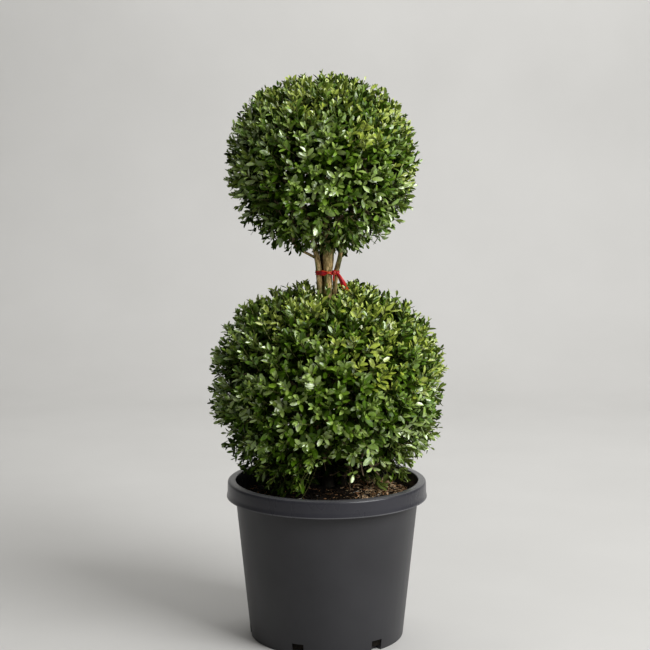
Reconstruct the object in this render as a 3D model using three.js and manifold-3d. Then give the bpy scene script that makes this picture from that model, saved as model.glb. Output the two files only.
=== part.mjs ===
// A boxwood clipped to two balls, one above the other on four tied stems, in a round nursery pot.
// Millimetres, +Z up. The origin is the centre of the pot's underside, on the ground.
import * as THREE from "three";
import { ConvexGeometry } from "three/addons/geometries/ConvexGeometry.js";
import { mergeVertices } from "three/addons/utils/BufferGeometryUtils.js";
import Module from "manifold-3d";

const wasm = await Module();
wasm.setup();

// Driving dimensions of the pot
const POT_HEIGHT = 286;
const FOOT_RADIUS = 139.5;
const WALL_SLOPE = 0.102; // outward run of the wall for each millimetre of height
const WALL_THICKNESS = 3.2;
const FLOOR_LIFT = 5; // the floor stands off the ground on the foot ring
const POT_FLOOR = 8; // height of the floor's upper side
const FOOT_RING = 14; // width of the flat ring that the pot stands on
const RIM_RADIUS = 179.6;
const RIM_THICKNESS = 4.5; // of the level rim between wall and skirt
const RIM_ROUND = 2.4; // width and height of its chamfered edges
const SKIRT_HEIGHT = 30;
const SKIRT_THICKNESS = 3;
const BEAD_OUT = 2.2; // the bead round the skirt's foot stands out by this
const BEAD_HEIGHT = 8;
const DRAIN_COUNT = 6;
const DRAIN_WIDTH = 22;
const DRAIN_HEIGHT = 20;
const DRAIN_DEPTH = 24;
const DRAIN_TURN = 8.65; // degrees that the gap between two front drains is turned to the right
const ROUND_SIDES = 42;

// Driving dimensions of the soil
const CLEARANCE = 0.3; // touching pieces keep this gap
const FACET_ROOM = 0.1; // further room where two faceted rounds meet
const SOIL_EDGE = 254; // height of the soil where it meets the wall
const SOIL_CROWN = 272; // height of its level middle, where the stems stand
const CROWN_RADIUS = 46;
const SOIL_BUMP = 3.5;
const SOIL_SEED = 11;

// Driving dimensions of the stems
const STEM_SIDES = 8;
const STEM_STEPS = 26;
const RING_CROWDING = 1.6; // rings stand closer together towards the flare
const BOUGH_STEPS = 4;
const FLARE_HEIGHT = 26; // the root flare's reach up each stem
const FLARE_SHARE = 0.45; // how much wider the foot is than the stem above it

// Driving dimensions of the red tie round the stems
const TIE_HEIGHT = 660;
const TIE_WIDTH = 7;
const TIE_THICKNESS = 0.9;
const TIE_ROOM = 0.4; // between the band and the bark
const TIE_SIDES = 36;
const KNOT_CENTRE = new THREE.Vector3(13.5, -9.5, 661);
const KNOT_SIZE = new THREE.Vector3(4.8, 4.6, 4.2);
const TAIL_WIDTH = 9;
const TAIL_STEPS = 9;
const TAIL_LINE = [
  [0.5, -2.5, 0],
  [7, -4, -6],
  [13, -5.5, -17],
  [19, -7, -31],
];

// The balls: a clipped surface of circular section and a slightly squared profile
const LOWER_BALL = {
  centre: new THREE.Vector3(3, 0, 458),
  radius: 213,
  up: 187,
  down: 222,
  upSquareness: 2.3,
  downSquareness: 2,
};
const UPPER_BALL = {
  centre: new THREE.Vector3(-7, 0, 850),
  radius: 173,
  up: 163,
  down: 163,
  upSquareness: 2.15,
  downSquareness: 2.15,
};

// Shares of the way out from a ball's centre
const CORE_SHARE = 0.85; // the dense inside
const CORE_BUMP = 0.09;
const CORE_DETAIL = 5;
const CORE_IN_GAP = 0.7; // how far out the dense inside goes behind the opening
const ROOT_SHARE = 0.6; // where shoots branch off inside it
const TIP_SHARE = 0.995; // where the leaves at the ends of twigs reach to
const BRANCH_SHARE = 0.35; // how far up its leader a side twig branches off

// Leaves and twigs, larger than life because they are fewer
const LEAF_LENGTH = 54;
const LEAF_WIDTH = 30;
const LEAF_THICKNESS = 2.6;
const END_LEAF = 0.66; // size of the leaf at a twig's end against the side leaves
const LEAF_ROOT = 4; // how deep a leaf's root sits in its twig's end
const PAIR_STEP = 7; // between one pair of leaves and the next down the twig
const PAIR_LEANS = [56, 76]; // degrees between the twig and the leaves of each pair
const TWIG_RADIUS = 3;
const TWIG_TAPER = 0.6;
const FORK_ANGLE = 46;
const TURNS = 5; // how often a leaf is turned on its twig before it is left out
const TURN_STEP = 23;
const SHORTEST_TWIG = 4;
const WAY_JITTER = 0.16; // how unevenly shoots are spread
const LOWER_SHOOTS = 35;
const UPPER_SHOOTS = 28;
const LOWER_SEED = 2;
const UPPER_SEED = 4;

// The opening low down in the lower ball's front
const GAP_ANGLE = 6; // degrees to the right of the front
const GAP_HALF_ANGLE = 17;
const GAP_TOP = 335;

// Room that leaves keep round limbs and the rim, and that leaves and the core keep over the soil
const LIMB_ROOM = 3.5;
const RIM_ROOM_ABOVE = 5;
const RIM_ROOM_INSIDE = 8;
const SOIL_ROOM = 4;
const CORE_ROOM = 8;

const UP = new THREE.Vector3(0, 0, 1);
const WELD = 1e-3; // corners closer than this are one
const radians = THREE.MathUtils.degToRad;

const paint = {
  pot: new THREE.MeshStandardMaterial({ color: 0x37373a, roughness: 0.5, metalness: 0 }),
  soil: new THREE.MeshStandardMaterial({ color: 0x2a1c12, roughness: 1, metalness: 0 }),
  bark: new THREE.MeshStandardMaterial({ color: 0x8b7d5e, roughness: 0.9, metalness: 0 }),
  leaf: new THREE.MeshStandardMaterial({ color: 0x3f6b1f, roughness: 0.45, metalness: 0 }),
  tie: new THREE.MeshStandardMaterial({ color: 0xb3131c, roughness: 0.35, metalness: 0 }),
};

// A geometry as a solid that can be cut and joined.
function solidOf(geometry) {
  const bare = geometry.clone();
  bare.deleteAttribute("normal");
  bare.deleteAttribute("uv");
  const merged = mergeVertices(bare, WELD);
  return new wasm.Manifold(
    new wasm.Mesh({
      numProp: 3,
      vertProperties: merged.attributes.position.array,
      triVerts: new Uint32Array(merged.index.array),
    }),
  );
}

// The largest body of a solid, without sealed hollows and loose scraps, as a geometry.
function geometryOf(solid) {
  const bodies = solid.decompose().sort((a, b) => b.volume() - a.volume());
  const mesh = bodies[0].getMesh();
  return new THREE.BufferGeometry()
    .setAttribute("position", new THREE.BufferAttribute(mesh.vertProperties, 3))
    .setIndex(new THREE.BufferAttribute(mesh.triVerts, 1));
}

// A named piece in its paint.
function piece(name, geometry, material) {
  const mesh = new THREE.Mesh(geometry, material);
  mesh.name = name;
  return mesh;
}

// A repeatable random number from 0 to 1 for each call.
function seeded(seed) {
  let state = seed;
  return () => {
    state = (state + 0x6d2b79f5) | 0;
    let mixed = Math.imul(state ^ (state >>> 15), 1 | state);
    mixed = (mixed + Math.imul(mixed ^ (mixed >>> 7), 61 | mixed)) ^ mixed;
    return ((mixed ^ (mixed >>> 14)) >>> 0) / 4294967296;
  };
}

// A turned shape from [radius, height] points that run up the outside, standing on +Z.
function turned(profile) {
  const points = profile.map(([radius, height]) => new THREE.Vector2(radius, height));
  return new THREE.LatheGeometry(points, ROUND_SIDES).rotateX(Math.PI / 2);
}

const wallOuter = (height) => FOOT_RADIUS + WALL_SLOPE * height;
const wallInner = (height) => wallOuter(height) - WALL_THICKNESS;

// The pot's section, from the floor's underside out, up the wall, round the skirt and down the inside.
function potProfile() {
  const top = POT_HEIGHT;
  const skirtFoot = top - SKIRT_HEIGHT;
  const deck = top - RIM_THICKNESS;
  const bead = RIM_RADIUS + BEAD_OUT;
  return [
    [0, FLOOR_LIFT],
    [FOOT_RADIUS - FOOT_RING - 2, FLOOR_LIFT],
    [FOOT_RADIUS - FOOT_RING - 1, 0],
    [FOOT_RADIUS - 1, 0],
    [wallOuter(1), 1],
    [wallOuter(deck), deck],
    [RIM_RADIUS - SKIRT_THICKNESS, deck],
    [RIM_RADIUS - SKIRT_THICKNESS, skirtFoot + BEAD_HEIGHT],
    [bead - SKIRT_THICKNESS, skirtFoot],
    [bead - 1, skirtFoot],
    [bead, skirtFoot + 2],
    [RIM_RADIUS + 1, skirtFoot + BEAD_HEIGHT],
    [RIM_RADIUS, top - 2 * RIM_ROUND],
    [RIM_RADIUS - 0.6 * RIM_ROUND, top - 0.6 * RIM_ROUND],
    [RIM_RADIUS - 2 * RIM_ROUND, top],
    [wallInner(top) + RIM_ROUND, top],
    [wallInner(top), top - RIM_ROUND],
    [wallInner(POT_FLOOR), POT_FLOOR],
    [0, POT_FLOOR],
  ];
}

// One drain: a slot through the foot of the wall and the edge of the floor.
function drain(angle) {
  const below = 10;
  return new THREE.BoxGeometry(DRAIN_WIDTH, DRAIN_DEPTH, DRAIN_HEIGHT + below)
    .translate(0, -FOOT_RADIUS, (DRAIN_HEIGHT - below) / 2)
    .rotateZ(angle);
}

function pot() {
  let body = solidOf(turned(potProfile()));
  for (let i = 0; i < DRAIN_COUNT; i++) {
    const turn = radians(DRAIN_TURN) + (2 * Math.PI * (i + 0.5)) / DRAIN_COUNT;
    body = body.subtract(solidOf(drain(turn)));
  }
  return piece("pot", geometryOf(body), paint.pot);
}

const SOIL_RADIUS = wallInner(SOIL_EDGE) - CLEARANCE - FACET_ROOM;

// The height of the soil at a distance from the pot's axis.
function soilTop(reach) {
  const share = (reach - CROWN_RADIUS) / (SOIL_RADIUS - CROWN_RADIUS);
  return THREE.MathUtils.lerp(SOIL_CROWN, SOIL_EDGE, THREE.MathUtils.clamp(share, 0, 1));
}

// The filling, mounded towards the stems, with an uneven top.
function soil() {
  const random = seeded(SOIL_SEED);
  const low = POT_FLOOR + CLEARANCE;
  const rings = [0.75, 0.5, 0.25].map((share) => THREE.MathUtils.lerp(CROWN_RADIUS, SOIL_RADIUS, share));
  const mound = turned([
    [0, low],
    [wallInner(low) - CLEARANCE - FACET_ROOM, low],
    [SOIL_RADIUS, SOIL_EDGE],
    ...rings.map((reach) => [reach, soilTop(reach)]),
    [CROWN_RADIUS, SOIL_CROWN],
    [0, SOIL_CROWN],
  ]);
  const mesh = solidOf(mound).getMesh();
  for (let i = 0; i < mesh.vertProperties.length; i += 3) {
    const [x, y, z] = mesh.vertProperties.subarray(i, i + 3);
    const onSlope = z > SOIL_EDGE + WELD && Math.hypot(x, y) > CROWN_RADIUS + WELD;
    if (onSlope) mesh.vertProperties[i + 2] = z + SOIL_BUMP * (random() - 0.5);
  }
  return piece("soil", geometryOf(new wasm.Manifold(mesh)), paint.soil);
}

// A limb is a line of [x, y, z] points with a radius at each end. A rooted one has a flare at its foot,
// and a swell is a height where the limb is thicker by a size, over a reach up and down.
const LIMBS = {
  trunk: {
    line: [
      [2, -2, SOIL_CROWN],
      [1, -3, 360],
      [3, -3, 460],
      [1.5, -3, 560],
      [1.8, -3, 625],
      [2.4, -3, TIE_HEIGHT],
      [2.8, -2, 700],
      [-3, 0, 780],
      [-7, 0, 850],
    ],
    radii: [9.2, 6.6],
    swell: { height: 692, size: 2.8, reach: 18 },
    rooted: true,
  },
  stem_left: {
    line: [
      [-27, 4, SOIL_CROWN],
      [-20, 3, 360],
      [-15, 3, 460],
      [-13.6, 2.5, 560],
      [-12.4, 2, 625],
      [-14, 2, TIE_HEIGHT],
      [-19, 2, 695],
      [-34, 4, 750],
      [-56, 6, 806],
    ],
    radii: [7.6, 4.9],
    rooted: true,
  },
  stem_right: {
    line: [
      [30, 5, SOIL_CROWN],
      [22, 4, 360],
      [17.5, 4, 460],
      [14.8, 3, 560],
      [14.3, 3, 635],
      [16.8, 3, TIE_HEIGHT],
      [20.6, 3.5, 676],
      [25, 4, 695],
      [37, 6, 742],
      [54, 8, 790],
    ],
    radii: [6.2, 4.2],
    rooted: true,
  },
  stem_back: {
    line: [
      [-6, 26, SOIL_CROWN],
      [-6, 20, 360],
      [-7, 15, 460],
      [-7, 12.5, 560],
      [-6.6, 11.5, 625],
      [-7.6, 11.5, TIE_HEIGHT],
      [-10, 12.5, 700],
      [-16, 24, 745],
      [-22, 40, 790],
    ],
    radii: [5.4, 3.4],
    rooted: true,
  },
  bough_left: {
    line: [
      [-25.2, 1.5, 689.3],
      [-33, -2, 694],
      [-43, -6, 699],
      [-58, -12, 712],
    ],
    radii: [2.7, 1.8],
    rooted: false,
  },
};

const STEMS = Object.keys(LIMBS).filter((name) => LIMBS[name].rooted);

// The rings of a limb from foot to tip: each ring's middle, its radius and the way the limb runs there.
function limbRings({ line, radii, swell, rooted }) {
  const curve = new THREE.CatmullRomCurve3(line.map((point) => new THREE.Vector3(...point)));
  const steps = rooted ? STEM_STEPS : BOUGH_STEPS;
  const height = line[line.length - 1][2] - line[0][2];
  return Array.from({ length: steps + 1 }, (_, i) => {
    const share = rooted ? (i / steps) ** RING_CROWDING : i / steps;
    const at = curve.getPointAt(share);
    const flare = rooted ? FLARE_SHARE * Math.max(0, 1 - (share * height) / FLARE_HEIGHT) ** 2 : 0;
    const swollen = swell ? swell.size * Math.exp(-(((at.z - swell.height) / swell.reach) ** 2) / 2) : 0;
    return {
      at,
      radius: THREE.MathUtils.lerp(radii[0], radii[1], share) * (1 + flare) + swollen,
      along: rooted && i === 0 ? UP.clone() : curve.getTangentAt(share), // a foot's cut lies level
    };
  });
}

// A cylinder bent and tapered through the limb's rings. As a cutter it is made fatter and longer by `grow`.
function limbGeometry(limb, grow = 0) {
  const rings = limbRings(limb);
  const steps = rings.length - 1;
  rings[0].at.addScaledVector(rings[0].along, CLEARANCE - grow);
  rings[steps].at.addScaledVector(rings[steps].along, grow);
  const geometry = new THREE.CylinderGeometry(1, 1, 1, STEM_SIDES, steps);
  const spots = geometry.attributes.position;
  for (let i = 0; i < spots.count; i++) {
    const { at, radius, along } = rings[Math.round((spots.getY(i) + 0.5) * steps)];
    const across = new THREE.Vector3(0, 1, 0).addScaledVector(along, -along.y).normalize();
    const third = new THREE.Vector3().crossVectors(along, across);
    const point = at
      .clone()
      .addScaledVector(across, spots.getZ(i) * (radius + grow))
      .addScaledVector(third, spots.getX(i) * (radius + grow));
    spots.setXYZ(i, point.x, point.y, point.z);
  }
  return geometry;
}

const limbSolid = (name, grow = 0) => solidOf(limbGeometry(LIMBS[name], grow));

function limbs() {
  return Object.keys(LIMBS).map((name) => piece(name, geometryOf(limbSolid(name)), paint.bark));
}

// Points close together along every limb, with radii, that leaves and twigs keep clear of.
const LIMB_SPOTS = Object.values(LIMBS).flatMap((limb) => {
  const rings = limbRings(limb);
  return rings.slice(1).flatMap((ring, i) =>
    [0, 0.2, 0.4, 0.6, 0.8].map((share) => ({
      at: rings[i].at.clone().lerp(ring.at, share),
      radius: THREE.MathUtils.lerp(rings[i].radius, ring.radius, share),
    })),
  );
});

// How far out a point lies in a ball: 1 is the clipped surface.
function depthIn(ball, point) {
  const { x, y, z } = point.clone().sub(ball.centre);
  const squareness = z > 0 ? ball.upSquareness : ball.downSquareness;
  const level = Math.hypot(x, y) / ball.radius;
  const height = Math.abs(z) / (z > 0 ? ball.up : ball.down);
  return (level ** squareness + height ** squareness) ** (1 / squareness);
}

// The point of a ball at a share of the way out along a direction.
function pointOf(ball, way, share) {
  const unit = way.clone().normalize();
  const surface = 1 / depthIn(ball, ball.centre.clone().add(unit));
  return ball.centre.clone().addScaledVector(unit, surface * share);
}

// True where a point is inside its ball and free of limbs, pot and soil.
function isFree(ball, point) {
  if (depthIn(ball, point) > 1) return false;
  if (LIMB_SPOTS.some(({ at, radius }) => at.distanceTo(point) < radius + LIMB_ROOM)) return false;
  const reach = Math.hypot(point.x, point.y);
  const inRim = point.z > POT_HEIGHT + RIM_ROOM_ABOVE || reach < wallInner(POT_HEIGHT) - RIM_ROOM_INSIDE;
  return inRim && point.z > soilTop(reach) + SOIL_ROOM && !inGap(point);
}

// True where the lower ball is open at its front, low down.
function inGap(point) {
  const angle = THREE.MathUtils.radToDeg(Math.atan2(point.x, -point.y));
  return Math.abs(angle - GAP_ANGLE) < GAP_HALF_ANGLE && point.z < GAP_TOP;
}

// The corners of a leaf of eight faces: flat above, keeled below, widest in its first half.
function leafCorners(base, way, face, size) {
  const across = new THREE.Vector3().crossVectors(way, face).normalize();
  const over = new THREE.Vector3().crossVectors(across, way).normalize();
  const corner = (along, side, lift) =>
    base
      .clone()
      .addScaledVector(way, along * LEAF_LENGTH * size)
      .addScaledVector(across, side * LEAF_WIDTH * size)
      .addScaledVector(over, lift * LEAF_THICKNESS);
  return [
    corner(0, 0, 0),
    corner(1, 0, 0),
    corner(0.35, 0.5, 1),
    corner(0.35, -0.5, 1),
    corner(0.72, 0.4, 1),
    corner(0.72, -0.4, 1),
  ];
}

// A direction across another one, at a random turn.
function sideOf(random, way) {
  const any = new THREE.Vector3(random() - 0.5, random() - 0.5, random() - 0.5);
  return any.cross(way).normalize();
}

// A direction leaned away from another by an angle.
function leaned(way, side, degrees) {
  return way
    .clone()
    .multiplyScalar(Math.cos(radians(degrees)))
    .addScaledVector(side, Math.sin(radians(degrees)));
}

// A twig from a point out to where the leaf at its end just reaches the clipped surface.
function reachingTwig(ball, from, way) {
  const tip = from.clone().addScaledVector(way, SHORTEST_TWIG);
  const reach = LEAF_LENGTH * END_LEAF - LEAF_ROOT;
  while (depthIn(ball, tip.clone().addScaledVector(way, reach)) < TIP_SHARE) tip.addScaledVector(way, 1);
  return { from, tip, way };
}

// A three-sided twig that thins to its tip.
function twigGeometry({ from, tip, way }) {
  const length = from.distanceTo(tip);
  const turn = new THREE.Quaternion().setFromUnitVectors(new THREE.Vector3(0, 1, 0), way);
  return new THREE.CylinderGeometry(TWIG_RADIUS * TWIG_TAPER, TWIG_RADIUS, length, 3)
    .translate(0, length / 2, 0)
    .applyQuaternion(turn)
    .translate(from.x, from.y, from.z);
}

// The places of a twig's leaves: one at its end and crossed pairs below it.
function leafPlaces(random, { tip, way }) {
  const side = sideOf(random, way);
  const down = (length) => tip.clone().addScaledVector(way, -length);
  const end = { at: down(LEAF_ROOT), way, side, lean: 0, size: END_LEAF };
  const pairs = PAIR_LEANS.flatMap((lean, pair) =>
    [0, 180].map((turn) => ({
      at: down(LEAF_ROOT + PAIR_STEP * (pair + 0.5)),
      way,
      side: side.clone().applyAxisAngle(way, radians(turn + 90 * pair)),
      lean,
      size: 1,
    })),
  );
  return [end, ...pairs];
}

// One shoot: a leader and the side twig that branches off it.
function shoot(random, ball, way) {
  const root = pointOf(ball, way, ROOT_SHARE);
  const side = sideOf(random, way);
  const outward = way.clone().normalize();
  const leader = reachingTwig(ball, root, leaned(outward, side, -FORK_ANGLE / 2));
  const fork = leader.from.clone().lerp(leader.tip, BRANCH_SHARE);
  const branch = reachingTwig(ball, fork, leaned(outward, side, FORK_ANGLE / 2));
  return [leader, branch];
}

// Directions spread evenly over a ball, each turned a little at random.
function directions(random, count) {
  const golden = Math.PI * (3 - Math.sqrt(5));
  return Array.from({ length: count }, (_, i) => {
    const height = 1 - (2 * i + 1) / count;
    const ring = Math.sqrt(1 - height * height);
    const way = new THREE.Vector3(ring * Math.cos(golden * i), ring * Math.sin(golden * i), height);
    const off = new THREE.Vector3(random() - 0.5, random() - 0.5, random() - 0.5);
    return way.addScaledVector(off, WAY_JITTER);
  });
}

// The dense inside of a ball, uneven on the outside.
function core(random, ball) {
  const geometry = new THREE.IcosahedronGeometry(1, CORE_DETAIL);
  const spots = geometry.attributes.position;
  const seen = new Map();
  for (let i = 0; i < spots.count; i++) {
    const way = new THREE.Vector3().fromBufferAttribute(spots, i);
    const key = way.toArray().map((value) => value.toFixed(3)).join();
    if (!seen.has(key)) {
      const point = pointOf(ball, way, CORE_SHARE + CORE_BUMP * (random() - 0.5));
      point.z = Math.max(point.z, soilTop(Math.hypot(point.x, point.y)) + CORE_ROOM);
      if (inGap(point)) point.multiply(new THREE.Vector3(CORE_IN_GAP, CORE_IN_GAP, 1));
      seen.set(key, point);
    }
    const { x, y, z } = seen.get(key);
    spots.setXYZ(i, x, y, z);
  }
  return solidOf(geometry);
}

// The leaf at a place, turned on its twig until it has room beside the leaves there, or nothing.
function leafAt(ball, { at, way, side, lean, size }, leaves) {
  for (let i = 0; i < TURNS; i++) {
    const turned = side.clone().applyAxisAngle(way, radians(i * TURN_STEP));
    const corners = leafCorners(at, leaned(way, turned, lean), leaned(way, turned, lean - 90), size);
    const middle = corners[0].clone().lerp(corners[1], 0.5);
    const outside = depthIn(ball, corners[1]) > CORE_SHARE + CORE_BUMP;
    if (!outside || ![...corners.slice(1), middle].every((point) => isFree(ball, point))) continue;
    const solid = solidOf(new ConvexGeometry(corners));
    if (!leaves || leaves.intersect(solid).isEmpty()) return solid;
  }
  return null;
}

// A mass of foliage: its core and every twig and leaf that has room, fused into one solid, cut clear
// of the limbs that run through it.
function foliage(name, ball, seed, shoots, limbNames) {
  const random = seeded(seed);
  let body = core(random, ball);
  let leaves = null;
  for (const each of directions(random, shoots).flatMap((way) => shoot(random, ball, way))) {
    body = body.add(solidOf(twigGeometry(each)));
    for (const place of leafPlaces(random, each)) {
      const leaf = leafAt(ball, place, leaves);
      if (leaf) leaves = leaves ? leaves.add(leaf) : leaf;
    }
  }
  body = body.add(leaves);
  for (const limb of limbNames) body = body.subtract(limbSolid(limb, CLEARANCE + FACET_ROOM));
  return piece(name, geometryOf(body), paint.leaf);
}

// The place of a limb's middle and its radius where it passes a height.
function limbAt(name, height) {
  const rings = limbRings(LIMBS[name]);
  const above = rings.findIndex(({ at }) => at.z > height);
  const [low, high] = [rings[above - 1], rings[above]];
  const share = (height - low.at.z) / (high.at.z - low.at.z);
  return {
    at: low.at.clone().lerp(high.at, share),
    radius: THREE.MathUtils.lerp(low.radius, high.radius, share),
  };
}

// The outline of a band drawn tight round the stems, a distance off their bark.
function outlineRound(distance) {
  const stems = STEMS.flatMap((name) =>
    [-0.5, 0.5].map((share) => limbAt(name, TIE_HEIGHT + share * TIE_WIDTH)),
  );
  return Array.from({ length: TIE_SIDES }, (_, i) => {
    const way = new THREE.Vector2(1, 0).rotateAround(new THREE.Vector2(), (2 * Math.PI * i) / TIE_SIDES);
    const reach = ({ at, radius }) => at.x * way.x + at.y * way.y + radius;
    const outer = stems.reduce((best, stem) => (reach(stem) > reach(best) ? stem : best));
    return way.multiplyScalar(outer.radius + distance).add(new THREE.Vector2(outer.at.x, outer.at.y));
  });
}

// The red tie's band round the stems.
function tieBand() {
  const outline = new THREE.Shape(outlineRound(TIE_ROOM + TIE_THICKNESS));
  outline.holes.push(new THREE.Path(outlineRound(TIE_ROOM)));
  const band = new THREE.ExtrudeGeometry(outline, { depth: TIE_WIDTH, bevelEnabled: false });
  return piece("tie_band", band.translate(0, 0, TIE_HEIGHT - TIE_WIDTH / 2), paint.tie);
}

// The knot that sits on the front of the band, with the end that falls from it to the right.
function tieKnot() {
  const knot = new THREE.IcosahedronGeometry(1, 1).scale(...KNOT_SIZE).translate(...KNOT_CENTRE);
  const line = TAIL_LINE.map((point) => new THREE.Vector3(...point).add(KNOT_CENTRE));
  const corners = [
    [-0.5, -0.5],
    [0.5, -0.5],
    [0.5, 0.5],
    [-0.5, 0.5],
  ].map(([out, across]) => new THREE.Vector2(out * TIE_THICKNESS, across * TAIL_WIDTH));
  const end = new THREE.ExtrudeGeometry(new THREE.Shape(corners), {
    steps: TAIL_STEPS,
    extrudePath: new THREE.CatmullRomCurve3(line),
  });
  const inside = new THREE.Shape(outlineRound(TIE_ROOM + TIE_THICKNESS + CLEARANCE));
  const bound = new THREE.ExtrudeGeometry(inside, { depth: 4 * TIE_WIDTH, bevelEnabled: false });
  const cutter = solidOf(bound.translate(0, 0, TIE_HEIGHT - 2 * TIE_WIDTH));
  return piece("tie_knot", geometryOf(solidOf(knot).add(solidOf(end)).subtract(cutter)), paint.tie);
}

const topiary = new THREE.Group();
topiary.add(
  pot(),
  soil(),
  ...limbs(),
  foliage("lower_ball", LOWER_BALL, LOWER_SEED, LOWER_SHOOTS, STEMS),
  foliage("upper_ball", UPPER_BALL, UPPER_SEED, UPPER_SHOOTS, Object.keys(LIMBS)),
  tieBand(),
  tieKnot(),
);

export default topiary;
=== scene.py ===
# %% [markdown]
# # A box shrub clipped to two balls, in its pot
# The real plant is a box shrub of four stems. They rise from bark soil in a round nursery pot, run up
# through a lower ball of leaves, show bare where a red ribbon ties them, and end in an upper ball.
# The plain solids of the plant are loaded first. They fix every size and place, and each step below
# makes one part of what the eye sees in their room.

# %% Load the solids
import math

import bmesh
import bpy
import numpy as np
from mathutils import Matrix, Vector, noise


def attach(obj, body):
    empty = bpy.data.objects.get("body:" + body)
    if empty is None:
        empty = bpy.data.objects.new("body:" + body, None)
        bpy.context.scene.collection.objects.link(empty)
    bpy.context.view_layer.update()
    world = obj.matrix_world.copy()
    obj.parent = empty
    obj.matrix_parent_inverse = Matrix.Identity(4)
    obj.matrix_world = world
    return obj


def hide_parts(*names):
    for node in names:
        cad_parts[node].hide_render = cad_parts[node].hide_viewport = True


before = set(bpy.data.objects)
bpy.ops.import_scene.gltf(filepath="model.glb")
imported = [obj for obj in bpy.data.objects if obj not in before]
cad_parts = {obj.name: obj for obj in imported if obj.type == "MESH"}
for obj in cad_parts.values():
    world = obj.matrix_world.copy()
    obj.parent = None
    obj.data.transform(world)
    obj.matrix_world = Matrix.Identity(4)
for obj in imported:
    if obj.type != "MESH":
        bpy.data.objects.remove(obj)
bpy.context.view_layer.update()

# %% [markdown]
# ## The camera
# A portrait of a plant is taken from some way off with a long lens, so that the pot doesn't bulge. The
# camera stands a little above the middle of the plant and looks slightly down, which shows the rim as an
# ellipse.

# %% The camera
CAMERA_PLACE = (-0.0033, -2.537, 0.869)
CAMERA_DIP = math.radians(6.81)
LENS = 78.9  # millimetres
SENSOR = 36  # millimetres across

lens = bpy.data.cameras.new("camera")
lens.lens = LENS
lens.sensor_width = SENSOR
camera = bpy.data.objects.new("camera", lens)
camera.location = CAMERA_PLACE
camera.rotation_euler = (math.pi / 2 - CAMERA_DIP, 0, 0)
bpy.context.scene.collection.objects.link(camera)
bpy.context.scene.camera = camera
print("Camera", round(-CAMERA_PLACE[1], 2), "m in front of the pot")

# %% [markdown]
# ## Helpers for meshes and finishes
# Every piece ends the same way: it gets its finish, rides on the plant's one body and stands for a solid.
# A finish is a small graph of nodes, so two helpers add a node and link it in one line.


# %% Helpers for meshes
def shown(mesh, name, finishes, smooth_below=None):
    """Links a mesh to the scene as a piece, smooth where its faces meet at less than so many degrees."""
    piece = bpy.data.objects.new(name, mesh)
    bpy.context.scene.collection.objects.link(piece)
    for finish in finishes:
        mesh.materials.append(finish)
    if smooth_below is not None:
        mesh.shade_smooth()
        mesh.set_sharp_from_angle(angle=math.radians(smooth_below))
    return piece


def mesh_of(bm, name):
    """Turns a finished bmesh into a mesh."""
    mesh = bpy.data.meshes.new(name)
    bm.to_mesh(mesh)
    bm.free()
    return mesh


def belongs(piece, slot, *nodes):
    """The piece moves with the plant and stands for solids, whose own meshes are hidden; its slot is not
    used.
    """
    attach(piece, "root")
    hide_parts(*nodes)
    print(piece.name, len(piece.data.polygons), "faces")


# %% Helpers for finishes
def new_finish(name, colour, roughness, **sockets):
    """A Principled finish; further sockets are given by name with _ for a space."""
    finish = bpy.data.materials.new(name)
    finish.use_nodes = True
    shader = finish.node_tree.nodes["Principled BSDF"]
    shader.inputs["Base Color"].default_value = (*colour, 1)
    shader.inputs["Roughness"].default_value = roughness
    for socket, value in sockets.items():
        shader.inputs[socket.replace("_", " ")].default_value = value
    return finish


def add(finish, kind, settings=None, **inputs):
    """A node of a kind; an input is a value or the socket that feeds it."""
    node = finish.node_tree.nodes.new("ShaderNode" + kind)
    for setting, value in (settings or {}).items():
        setattr(node, setting, value)
    for name, value in inputs.items():
        socket = node.inputs[name.replace("_", " ")]
        if isinstance(value, bpy.types.NodeSocket):
            finish.node_tree.links.new(value, socket)
        else:
            socket.default_value = value
    return node


def feed(finish, name, socket):
    """Feeds a socket of the finish's shader."""
    shader = finish.node_tree.nodes["Principled BSDF"]
    finish.node_tree.links.new(socket, shader.inputs[name])


def place_of(finish, stretch=(1, 1, 1)):
    """Object coordinates, stretched along the axes."""
    where = add(finish, "TexCoord").outputs["Object"]
    return add(finish, "Mapping", Vector=where, Scale=stretch).outputs["Vector"]


def noise_in(finish, scale, detail=2.0, where=None, roughness=0.5):
    """A noise from 0 to 1 with so many waves to a metre."""
    vector = where or place_of(finish)
    node = add(finish, "TexNoise", Vector=vector, Scale=scale, Detail=detail, Roughness=roughness)
    return node.outputs["Fac"]


def ramp(finish, factor, *stops):
    """A colour for each value of a factor, from (place, colour) stops."""
    node = add(finish, "ValToRGB", Fac=factor)
    elements = node.color_ramp.elements
    while len(elements) < len(stops):
        elements.new(1)
    for element, (place, colour) in zip(elements, stops):
        element.position = place
        element.color = (*colour, 1)
    return node.outputs["Color"]


MIX_FACTOR, MIX_FIRST, MIX_SECOND, MIX_RESULT = 0, 6, 7, 2  # places of the Mix node's colour sockets


def mixed(finish, factor, first, second, blend="MIX"):
    """Two colours mixed by a factor."""
    node = add(finish, "Mix", {"data_type": "RGBA", "blend_type": blend})
    for index, value in ((MIX_FACTOR, factor), (MIX_FIRST, first), (MIX_SECOND, second)):
        if isinstance(value, bpy.types.NodeSocket):
            finish.node_tree.links.new(value, node.inputs[index])
        else:
            node.inputs[index].default_value = value if index == MIX_FACTOR else (*value, 1)
    return node.outputs[MIX_RESULT]


def counted(finish, operation, *values):
    """A sum on one, two or three values or sockets."""
    node = add(finish, "Math", {"operation": operation})
    for index, value in enumerate(values):
        if isinstance(value, bpy.types.NodeSocket):
            finish.node_tree.links.new(value, node.inputs[index])
        else:
            node.inputs[index].default_value = value
    return node.outputs[0]


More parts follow.
